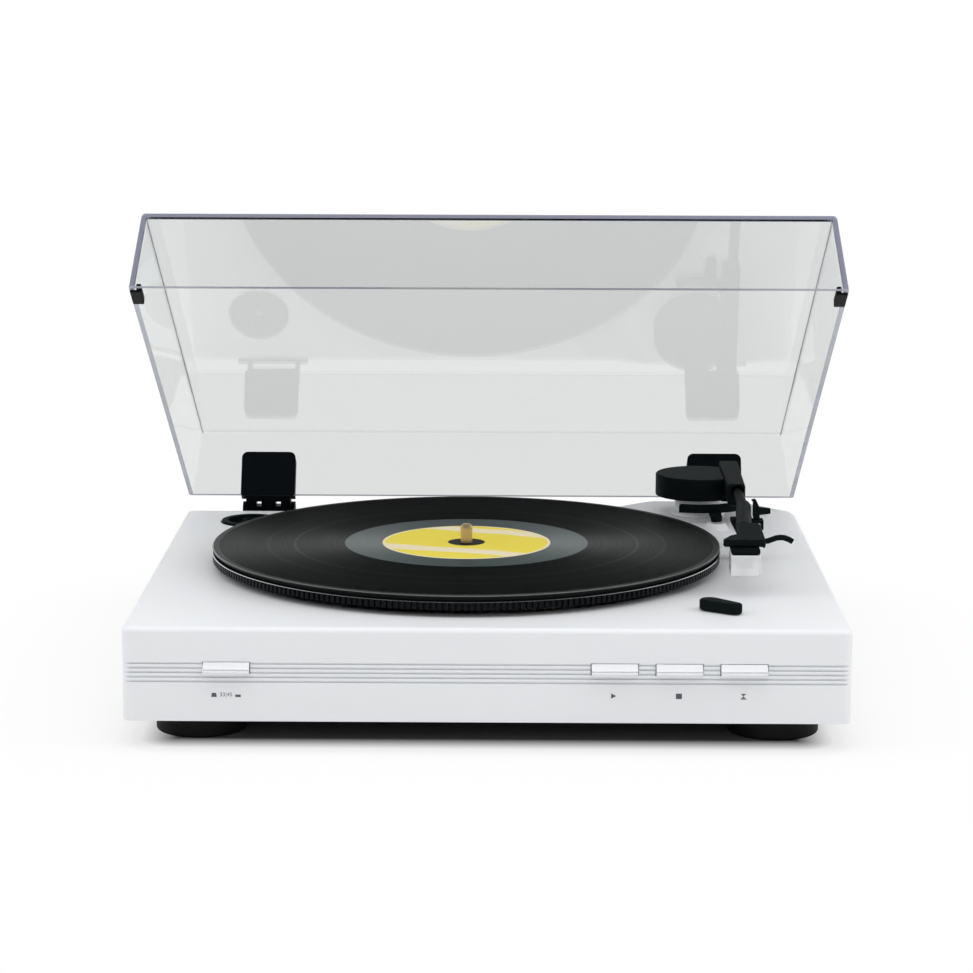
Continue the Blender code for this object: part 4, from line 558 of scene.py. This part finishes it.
sign_ink = moulded("sign_ink", (0.10, 0.11, 0.12), 0.6, gloss=0.2, fineness=5000, drift=0.3)
sign_z, sign_front, sign_back = -36.9 * mm, -0.03 * mm, 0.4 * mm


def sign(name, points, x):
    """A small printed mark on the plinth's front, its outline in millimetres round x and sign_z."""
    outline = [(x * mm + px * mm, sign_z + pz * mm) for px, pz in points]
    stand(name, slab(outline, -sign_back, -sign_front, facing), sign_ink, "chassis")


sign("start_sign", [(-1.3, -1.5), (1.5, 0), (-1.3, 1.5)], 68.65)
sign("stop_sign", [(-1.65, -1.5), (1.65, -1.5), (1.65, 1.5), (-1.65, 1.5)], 104.0)
sign("lift_sign_foot", [(-1.55, -1.6), (1.55, -1.6), (1.55, -1.1), (-1.55, -1.1)], 138.9)
sign("lift_sign_head", [(-1.5, 1.55), (0, 0.1), (1.5, 1.55)], 138.9)
sign("lift_sign_arrow", [(-1.2, -1.0), (1.2, -1.0), (0, 0.2)], 138.9)
sign("speed_sign_block", [(-1.5, -1.6), (1.5, -1.6), (1.2, 0.7), (-1.2, 0.7)], -147.6)
sign("speed_sign_bar", [(-1.5, -1.6), (1.5, -1.6), (1.5, -0.2), (-1.5, -0.2)], -134.6)
speed_text = bpy.data.curves.new("speed_figures", "FONT")
speed_text.body = "33|45"
speed_text.size = 3.1 * mm
speed_text.align_x = "CENTER"
text_object = placed("speed_text", speed_text)
figures = bmesh.new()
figures.from_mesh(text_object.evaluated_get(bpy.context.evaluated_depsgraph_get()).to_mesh())
bpy.data.objects.remove(text_object)
bmesh.ops.transform(figures, matrix=Matrix.Translation((-141.1 * mm, sign_front, -38.1 * mm))
                    @ Matrix.Rotation(math.pi / 2, 4, "X"), verts=figures.verts)
stand("speed_figures", figures, sign_ink, "chassis")


# Drive. A motor under the well turns the platter's inner ring by a flat ground-rubber belt over a
# flanged brass pulley. A nylon pinion under the hub meets the cycle gear that works the tonearm.
steel_bar = turned_metal("steel_bar", (0.56, 0.57, 0.58), 0.28)
turned_brass = turned_metal("turned_brass", (0.74, 0.56, 0.30), 0.2)
nylon = moulded("natural_nylon", (0.70, 0.69, 0.63), 0.5, gloss=0.35, drift=0.08, relief=0.01)
belt_rubber = moulded("belt_rubber", (0.013, 0.012, 0.011), 0.75, gloss=0.2, drift=0.2)
motor_can = turned_metal("motor_can", (0.50, 0.51, 0.52), 0.35)
dressed("drive_motor", "motor", motor_can, soft=0.3 * mm)
dressed("motor_axle", "motor_shaft", steel_bar)
dressed("belt_pulley", "motor_pulley", turned_brass)
dressed("flat_belt", "drive_belt", belt_rubber)
dressed("hub_pinion", "drive_pinion", nylon, soft=0.15 * mm)
dressed("cycle_gear", "cam_gear", nylon, soft=0.15 * mm)


# Platter. A die-cast disc, black coated, whose rim is ribbed all round under a thin plain lip that
# catches the light. It turns on a brass bush over the fixed spindle, a pin of a warm metal with a
# domed end that comes up through the record.
cast_black = moulded("cast_black", (0.004, 0.005, 0.006), 0.34, gloss=0.10, fineness=1800,
                     drift=0.1)
bright_lip = turned_metal("bright_lip", (0.86, 0.88, 0.90), 0.18)
rib_count = 270
crest, valley = 150.65 * mm, 149.45 * mm
ribs = []
for i in range(rib_count):
    for share, radius in ((-0.28, crest), (0.28, crest), (0.42, valley), (0.58, valley)):
        angle = math.tau * (i + share) / rib_count
        ribs.append((platter_at.x + radius * math.cos(angle),
                     platter_at.y + radius * math.sin(angle)))
rim = slab(ribs, 4.2 * mm, 8.4 * mm)
disc = spun(rounded(in_mm((5.3, 9, 0), (151, 9, 0.4), (151, 8.2, 0.2), (148.4, 8.2, 0),
                          (148.4, 7, 0), (5.3, 7, 0), (5.3, 9, 0)), 4), platter_at, 256)
for face in disc.faces:
    middle = face.calc_center_median()
    if (middle.xy - platter_at).length > 150.55 * mm and middle.z > 8.5 * mm:
        face.material_index = 1
hollow_rim = carved(rim, post(platter_at, 2 * mm, 9 * mm, 146 * mm, 128))
ring_wall = spun(in_mm((85.5, 7.5), (88, 7.5), (88, -4.6), (85.5, -4.6), (85.5, 7.5)),
                 platter_at, 128)
hub = spun(in_mm((5.3, 7.5), (8.5, 7.5), (8.5, -10.4), (5.3, -10.4), (5.3, 7.5)), platter_at, 64)
ribbed = stand("ribbed_platter", joined(disc, hollow_rim, ring_wall, hub), cast_black,
               "turning_platter", "platter", crease=40)
ribbed.data.materials.append(bright_lip)
dressed("hub_bush", "platter_bush", turned_brass)
spindle_profile = in_mm((0, -11.7), (6, -11.7), (6, -10.5), (3.55, -10.5)) + rounded(
    in_mm((3.55, -10, 0), (3.55, 23.6, 2.6), (0, 23.6, 0)), 8)
gilt_pin = turned_metal("gilt_pin", (0.78, 0.60, 0.34), 0.3, metallic=0.75)
stand("centre_pin", spun(spindle_profile, platter_at, 64), gilt_pin, "chassis", "spindle")


# Mat, record and label. A black rubber mat lies on the platter. On it is a pressed vinyl record,
# whose cut grooves spread light along their own direction; the run-out inside them is plainer. The
# paper label is a plain yellow and cream print of its own, with a black centre.
mat_rubber = moulded("mat_rubber", (0.011, 0.011, 0.012), 0.75, gloss=0.2, drift=0.1, relief=0.03)
stand("rubber_mat", spun(rounded(in_mm(
    (3.75, 10.3, 0), (50, 10.3, 0), (50.5, 10.8, 0), (148.5, 10.8, 0.5), (148.5, 9.1, 0.3),
    (3.75, 9.1, 0), (3.75, 10.3, 0)), 4), platter_at, 192),
    mat_rubber, "turning_platter", "platter_mat")


def about_spindle(tree):
    """The flat place on the disc as seen from the spindle, and its distance from it."""
    coords = node(tree, "TexCoord")
    centred = node(tree, "Mapping", {"Location": (-(deck_origin.x + platter_at.x),
                                                  -(deck_origin.y + platter_at.y), 0)})
    place = node(tree, "VectorMath", {1: (1, 1, 0)}, operation="MULTIPLY")
    radius = node(tree, "VectorMath", operation="LENGTH")
    wired(tree, (coords, "Object", centred, "Vector"), (centred, 0, place, 0),
          (place, 0, radius, 0))
    return place, radius


def pressed_vinyl(name, colour, roughness, gloss, spread, sheen_bands=()):
    """Black vinyl whose gloss is drawn out across its grooves; each band is (radius, lift), a ring
    of painted sheen where the base colour is raised by lift.
    """
    material, tree, surface = painted(name)
    surface.inputs["Specular IOR Level"].default_value = gloss
    surface.inputs["Anisotropic"].default_value = spread
    place, radius = about_spindle(tree)
    to_room = node(tree, "VectorTransform", vector_type="VECTOR", convert_from="OBJECT",
                   convert_to="WORLD")
    inner, outer, half_band = 0.050, 0.151, 0.006
    share = ranged(tree, inner, outer)
    shade = node(tree, "ValToRGB")
    ramp = shade.color_ramp
    ramp.elements[0].color = ramp.elements[1].color = (*colour, 1)
    for at, lift in sheen_bands:
        for offset, level in ((-half_band, 1), (0, lift), (half_band, 1)):
            stop = ramp.elements.new((at - inner) / (outer - inner) + offset)
            stop.color = (*(level * part for part in colour), 1)
    grooving = node(tree, "TexNoise", {"Scale": 900, "Detail": 4}, noise_dimensions="1D")
    rough = ranged(tree, 0, 1, roughness * 0.88, roughness * 1.14)
    wired(tree, (place, 0, to_room, "Vector"), (to_room, 0, surface, "Tangent"),
          (radius, "Value", share, "Value"), (share, 0, shade, "Fac"),
          (shade, 0, surface, "Base Color"), (radius, "Value", grooving, "W"),
          (grooving, "Fac", rough, "Value"), (rough, 0, surface, "Roughness"))
    return material


record_top, record_low = 12.4 * mm, 10.9 * mm
groove_floor, label_floor = record_top - 0.15 * mm, record_top - 0.25 * mm
disc_bore, disc_edge, label_edge = 3.65 * mm, 150.8 * mm, 50 * mm
grooves_inside, grooves_outside = 72.4 * mm, 146.8 * mm
# The gaps between songs are rings of painted sheen: a lighter base colour on the same vinyl.
song_gap_sheen = ((0.0840, 4), (0.1020, 18), (0.1180, 12), (0.1335, 6))
grooved_vinyl = pressed_vinyl("grooved_vinyl", (0.0030, 0.0034, 0.0036), 0.5, 0.055, 0.93,
                              song_gap_sheen)
# The run-out's lighter teal base colour is painted sheen, on top of its real higher gloss.
plain_vinyl = pressed_vinyl("plain_vinyl", (0.006, 0.021, 0.023), 0.34, 0.33, 0.75)
bead_vinyl = pressed_vinyl("bead_vinyl", (0.005, 0.006, 0.006), 0.4, 0.12, 0.6)
# The rounded top of the record's outer edge is a painted highlight: a light grey base colour on
# those faces.
painted_edge_highlight = pressed_vinyl("painted_edge_highlight", (0.11, 0.115, 0.115), 0.3, 0.4, 0.3)
disc_profile = [(disc_bore, label_floor), (50.1 * mm, label_floor), (50.3 * mm, record_top),
                (72.2 * mm, record_top), (grooves_inside, groove_floor),
                (grooves_outside, groove_floor), (147.1 * mm, record_top - 0.02 * mm)] + rounded(
    [(147.2 * mm, record_top, 0), (disc_edge, record_top, 0.72 * mm),
     (disc_edge, record_low, 0.72 * mm), (147 * mm, record_low, 0)], 5) + [
    (disc_bore, record_low), (disc_bore, label_floor)]
grooved_slot, plain_slot, bead_slot, edge_highlight_slot = range(4)
disc_shape = spun(disc_profile, platter_at, 256)
for face in disc_shape.faces:
    out = (face.calc_center_median().xy - platter_at).length
    # Faces on the rounded top of the outer edge carry the painted highlight.
    on_edge_highlight = out > 150.15 * mm and face.calc_center_median().z > record_top - 0.5 * mm
    if 72.3 * mm < out < 146.9 * mm:
        face.material_index = grooved_slot
    elif out < 100 * mm:
        face.material_index = plain_slot
    else:
        face.material_index = edge_highlight_slot if on_edge_highlight else bead_slot
record_piece = stand("pressed_record", disc_shape, grooved_vinyl, "turning_platter", "record",
                     crease=25)
for look in (plain_vinyl, bead_vinyl, painted_edge_highlight):
    record_piece.data.materials.append(look)


def label_print():
    """Uncoated yellow paper with a cream rim, two cream sweeps and a black middle."""
    material, tree, surface = painted("label_print")
    surface.inputs["Specular IOR Level"].default_value = 0.3
    yellow, cream = (0.97, 0.80, 0.085, 1), (0.97, 0.86, 0.60, 1)
    black = (0.008, 0.007, 0.006, 1)
    place, radius = about_spindle(tree)
    coords = node(tree, "TexCoord")
    parts = node(tree, "SeparateXYZ")
    wave = node(tree, "TexNoise", {"Scale": 34, "Detail": 1})
    lean = node(tree, "Math", {1: 0.35}, operation="MULTIPLY_ADD")
    sway = node(tree, "Math", {1: 0.010}, operation="MULTIPLY_ADD")
    sweep_place = ranged(tree, -0.05, 0.05)
    sweep = node(tree, "ValToRGB")
    wired(tree, (place, 0, parts, 0), (coords, "Object", wave, "Vector"), (parts, "X", lean, 0),
          (parts, "Y", lean, 2), (wave, "Fac", sway, 0), (lean, 0, sway, 2),
          (sway, 0, sweep_place, "Value"), (sweep_place, 0, sweep, "Fac"))
    ramp = sweep.color_ramp
    ramp.elements[0].color = ramp.elements[1].color = yellow
    for position, colour in ((0.20, yellow), (0.23, cream), (0.33, cream), (0.37, yellow),
                             (0.84, yellow), (0.88, cream), (0.97, cream)):
        ramp.elements.new(position).color = colour
    rim_mask = ranged(tree, 0.0480, 0.0486)
    rimmed = node(tree, "MixRGB", {"Color2": cream})
    middle_mask = ranged(tree, 0.0112, 0.0108)
    centre = node(tree, "MixRGB", {"Color2": black})
    grain = node(tree, "Group", {"Roughness": 0.6, "Fineness": 1100, "Drift": 0.05},
                 node_tree=grain_group)
    bump = node(tree, "Bump", {"Strength": 0.4, "Distance": 0.02 * mm})
    wired(tree, (radius, "Value", rim_mask, "Value"), (rim_mask, 0, rimmed, "Fac"),
          (sweep, 0, rimmed, "Color1"), (radius, "Value", middle_mask, "Value"),
          (middle_mask, 0, centre, "Fac"), (rimmed, 0, centre, "Color1"),
          (centre, 0, grain, "Colour"), (grain, "Colour", surface, "Base Color"),
          (grain, "Roughness", surface, "Roughness"), (grain, "Height", bump, "Height"),
          (bump, 0, surface, "Normal"))
    return material


label_low = record_top - 0.19 * mm
label_top = label_low + 0.2 * mm
stand("paper_label", spun([(disc_bore, label_top), (label_edge, label_top), (label_edge, label_low),
                           (disc_bore, label_low), (disc_bore, label_top)], platter_at, 192),
      label_print(), "turning_platter", "record_label")


# Tonearm housing. A round black cap with a flat at its right turns on a white pedestal screwed to
# the rise; a steel shaft runs down inside, and a cross pin carries the arm. Satin mouldings.
black_abs = moulded("black_abs", (0.0052, 0.0082, 0.0088), 0.52, gloss=0.03, drift=0.12)
turret = spun(rounded(in_mm((0, 34, 0), (27, 34, 1.2), (27, 20.3, 0.4), (0, 20.3, 0)), 6),
              arm_at, 160)
flat_x, well_past = arm_at.x + 14.5 * mm, 60 * mm
turret = carved(turret, block((flat_x, arm_at.y - well_past, 0),
                              (arm_at.x + well_past, arm_at.y + well_past, well_past)),
                post(arm_at, 0, 27.1 * mm, 4.1 * mm))
stand("arm_housing", turret, black_abs, "turret", "arm_turret", soft=0.3 * mm)
pedestal_profile = in_mm((4.1, 8.1), (4.1, 20)) + rounded(in_mm(
    (4.1, 20, 0), (14.6, 20, 0.6), (14.6, 10.6, 1), (17, 9.4, 0.6), (17, 8.1, 0),
    (4.1, 8.1, 0)), 4)
stand("white_pedestal", spun(pedestal_profile, arm_at, 128), white_abs, "chassis", "arm_pedestal")
dressed("swing_shaft", "arm_shaft", steel_bar)
dressed("cross_pin", "arm_pivot_pin", steel_bar)


# Cueing lift. A curved black bar under the arm, on a short tongue and a steel rod through a boss
# in the deck, raises and lowers the arm.
dressed("lift_arc", "lift_bar", black_abs, soft=0.6 * mm)
stand("lift_collar", spun(in_mm((2.05, 13.2), (3.5, 13.2), (3.5, 11.8), (3.2, 11.5),
                                (2.05, 11.5), (2.05, 13.2)), lift_at, 64), black_abs, "lift")
dressed("lift_pin", "lift_rod", steel_bar)


# Armrest and clip. A black post with a hollow for the tube, and a springy clip with a thumb tab on
# a steel pin at its right side.
dressed("arm_post", "armrest", black_abs, soft=0.5 * mm)
dressed("spring_clip", "arm_clip", black_abs, soft=0.3 * mm)
dressed("clip_axle", "clip_pin", steel_bar)


# Tonearm. A moulded sleeve with a dark mouth holds the tube, whose front end carries the
# headshell, the cartridge below it with its stylus, and a curved finger lift. A milky clear guard
# slides over the stylus.
dressed("sleeve_block", "arm_sleeve", black_abs, soft=0.5 * mm)
dressed("satin_tube", "arm_tube", black_abs)
dressed("shaped_headshell", "headshell", black_abs)
dressed("cartridge_body", "cartridge", black_abs, soft=0.3 * mm)
dressed("stylus_block", "stylus", black_abs, soft=0.2 * mm)
finger_hook = dressed("finger_hook", "finger_lift", black_abs)
thicker = finger_hook.modifiers.new("full_thickness", "DISPLACE")
thicker.strength, thicker.mid_level = 0.35 * mm, 0


def clear_plastic(name, tint, roughness, haze=0.0, bending=1.49):
    """Clear moulded plastic that lets lamps through, with a little milkiness where haze is set."""
    material, tree, surface = painted(name)
    surface.inputs["Transmission Weight"].default_value = 1 - haze
    surface.inputs["IOR"].default_value = bending
    coords = node(tree, "TexCoord")
    smears = node(tree, "TexNoise", {"Scale": 14, "Detail": 2})
    tone = node(tree, "MixRGB", {"Color1": (*tint, 1),
                                 "Color2": (*(0.985 * part for part in tint), 1)})
    level = ranged(tree, 0, 1, roughness * 0.7, roughness * 1.3)
    passing = node(tree, "BsdfTransparent", {"Color": (0.96, 0.965, 0.965, 1)})
    path = node(tree, "LightPath")
    mix = node(tree, "MixShader")
    wired(tree, (coords, "Object", smears, "Vector"), (smears, "Fac", tone, "Fac"),
          (tone, 0, surface, "Base Color"), (smears, "Fac", level, "Value"),
          (level, 0, surface, "Roughness"), (path, "Is Shadow Ray", mix, "Fac"),
          (surface, 0, mix, 1), (passing, 0, mix, 2),
          (mix, 0, tree.nodes["Material Output"], "Surface"))
    return material


milky_clear = clear_plastic("milky_clear", (0.975, 0.985, 0.99), 0.12, haze=0.5)
dressed("clear_guard", "stylus_guard", milky_clear, soft=0.2 * mm)


# Size lever and adapter. The record-size lever is a small black knob with a tapered arm at the
# front right. The adapter for large-hole singles lies in its recess behind the platter.
dressed("record_size_knob", "size_lever", black_abs, soft=0.6 * mm)
dressed("large_hole_adapter", "adapter_45", black_abs, soft=0.3 * mm)
stand("adapter_web", spun(in_mm((6, -3), (17, -3), (17, -3.8), (6, -3.8), (6, -3)),
                          adapter_at, 96), black_abs, "adapter")


# Dust cover. A clear moulded acrylic lid with drafted walls, open in front and below. Its rim and
# front corners are painted a hazy bluish grey, standing in for the light the sheet carries along
# itself. Two rubber pads with a flange under the rim sit in its front corners, and land on the deck
# when it is closed.
# The top sheet, the front and the sides are one acrylic given three tints; the greyer top and sides
# are painted shade.
clear_lid = clear_plastic("clear_lid", (0.77, 0.785, 0.78), 0.01, bending=1.38)
clear_front = clear_plastic("clear_front", (0.985, 0.99, 0.99), 0.01, bending=1.36)
clear_side = clear_plastic("clear_side", (0.90, 0.92, 0.92), 0.01, bending=1.3)
lid_corner = clear_plastic("lid_corner", (0.25, 0.26, 0.34), 0.25, haze=0.85)
lid_rim = clear_plastic("lid_rim", (0.50, 0.52, 0.61), 0.25, haze=0.75)
hinge_y, hinge_z = 356.06 * mm, -3.17 * mm
cover_turn = (Matrix.Translation((0, hinge_y, hinge_z))
              @ Matrix.Rotation(math.radians(-30.07), 4, "X"))
rear_rim, rim_height = -15.06 * mm, 5.17 * mm
front_rim = rear_rim - 339.2 * mm
lid_height, lid_half, lid_sheet = 45.15 * mm, 196.7 * mm, 3.1 * mm
side_draft, front_draft, rear_draft = 5 * mm, 1.5 * mm, 0.4 * mm
front_slot, corner_slot, rim_slot, side_slot = 1, 2, 3, 4


def lid_block(inset, drop, radius):
    """The lid's drafted outline, drawn in by inset and down by drop, open at the bottom."""
    shape = bmesh.new()
    levels = []
    for share in (-drop / lid_height, 1 - inset / lid_height):
        half = lid_half - inset - side_draft * share
        front = front_rim + inset + front_draft * share
        rear = rear_rim - inset - rear_draft * share
        z = rim_height + lid_height * share
        levels.append([shape.verts.new(place) for place in
                       ((-half, front, z), (half, front, z), (half, rear, z), (-half, rear, z))])
    low, high = levels
    shape.faces.new(high)
    shape.faces.new(low[::-1])
    for i in range(4):
        shape.faces.new((low[i], low[i - 3], high[i - 3], high[i]))
    softened(shape, [e for e in shape.edges if any(v in high for v in e.verts)], radius, 5)
    sheet = lid_sheet - inset
    planes = [((0, 0, rim_height + lid_height - sheet - inset), (0, 0, 1))]
    planes += [((side * (lid_half - inset - sheet), 0, rim_height),
                (side * lid_height, 0, side_draft)) for side in (-1, 1)]
    for place, normal in planes:
        bmesh.ops.bisect_plane(shape, geom=shape.verts[:] + shape.edges[:] + shape.faces[:],
                               plane_co=place, plane_no=normal, dist=0.01 * mm)
    shape.normal_update()
    for face in shape.faces:
        middle = face.calc_center_median()
        share = (middle.z - rim_height) / lid_height
        at_side = abs(middle.x) > lid_half - side_draft * share - lid_sheet
        rounding = 0.3 < abs(face.normal.x) < 0.98 and face.normal.z > 0.15
        if face.normal.z < -0.9 or rounding and inset == 0:
            face.material_index = rim_slot
        elif middle.y < front_rim + inset + 2 * radius + mm:
            at_top = middle.z > rim_height + lid_height - lid_sheet
            face.material_index = corner_slot if at_side or at_top else front_slot
        elif abs(face.normal.x) > 0.9:
            face.material_index = side_slot
    return shape


lid = carved(lid_block(0, 0, 2.2 * mm), lid_block(2.8 * mm, 9 * mm, 1.1 * mm))
bmesh.ops.transform(lid, matrix=cover_turn, verts=lid.verts)
lid_piece = stand("clear_lid", lid, clear_lid, "cover", "dust_cover", crease=25)
for look in (clear_front, lid_corner, lid_rim, clear_side):
    lid_piece.data.materials.append(look)
pad_rubber = moulded("pad_rubber", (0.004, 0.004, 0.005), 0.6, gloss=0.15, drift=0.1, relief=0.02)
pad_inside, pad_outside, flange_outside = 190.2 * mm, 192.9 * mm, 196.4 * mm
pad_front, pad_rear, pad_low = front_rim + 4.3 * mm, front_rim + 21.3 * mm, rim_height - 1.7 * mm
for side, sign_of_x in (("left", -1), ("right", 1)):
    halves = []
    for outside, top in ((pad_outside, rim_height + 3 * mm),
                         (flange_outside, rim_height - 0.15 * mm)):
        inner, outer = sorted((sign_of_x * pad_inside, sign_of_x * outside))
        halves.append(block((inner, pad_front, pad_low), (outer, pad_rear, top), 0.5 * mm))
    pad = carved(*halves, way="UNION")
    bmesh.ops.transform(pad, matrix=cover_turn, verts=pad.verts)
    stand(f"corner_pad_{side}", pad, pad_rubber, "cover", f"cover_bumper_{side}")


# Hinges. Each is a black cap on the lid's back wall, with a clamp plate on the wall's inside and a
# neck and barrel below, turning on a steel pin between two ears of a block on the plinth's back.
hinge_black = moulded("hinge_black", (0.0030, 0.0048, 0.0060), 0.45, gloss=0.08, drift=0.12)
plate_top, plate_front, plate_half = -2.17 * mm, 341.3 * mm, 23 * mm
clamp_half, ear_inside, ear_outside, pin_half = 17.5 * mm, 14.8 * mm, 17 * mm, 17.4 * mm
for side, x in (("left", -145.4 * mm), ("right", 145.4 * mm)):
    dressed(f"hinge_cap_{side}", f"hinge_bracket_{side}", hinge_black, soft=0.4 * mm)
    top, foot = rim_height + 29 * mm, rim_height - 1.5 * mm
    clamp = slab(rounded([(x - clamp_half, foot, 1.5 * mm), (x + clamp_half, foot, 1.5 * mm),
                          (x + clamp_half, top, 4 * mm), (x - clamp_half, top, 4 * mm)]),
                 18.15 * mm, 19.35 * mm, facing)
    bmesh.ops.transform(clamp, matrix=cover_turn, verts=clamp.verts)
    stand(f"hinge_clamp_{side}", clamp, hinge_black, "cover", soft=0.3 * mm)
    plate = block((x - plate_half, plate_front, -28.17 * mm),
                  (x + plate_half, plate_front + 4 * mm, plate_top))
    ears = []
    for near, far in ((x - ear_outside, x - ear_inside), (x + ear_inside, x + ear_outside)):
        ears += [block((near, 343 * mm, -15.57 * mm), (far, hinge_y, plate_top)),
                 bar((near, hinge_y, hinge_z), (far, hinge_y, hinge_z), 6.2 * mm, 64)]
    bore = bar((x - 30 * mm, hinge_y, hinge_z), (x + 30 * mm, hinge_y, hinge_z), 2.1 * mm)
    stand(f"hinge_block_{side}", carved(carved(plate, *ears, way="UNION"), bore), hinge_black,
          "chassis", f"hinge_base_{side}", soft=0.4 * mm)
    axle = bar((x - pin_half, hinge_y, hinge_z), (x + pin_half, hinge_y, hinge_z), 2 * mm)
    stand(f"hinge_axle_{side}", axle, steel_bar, "chassis", f"hinge_pin_{side}", soft=0.2 * mm)
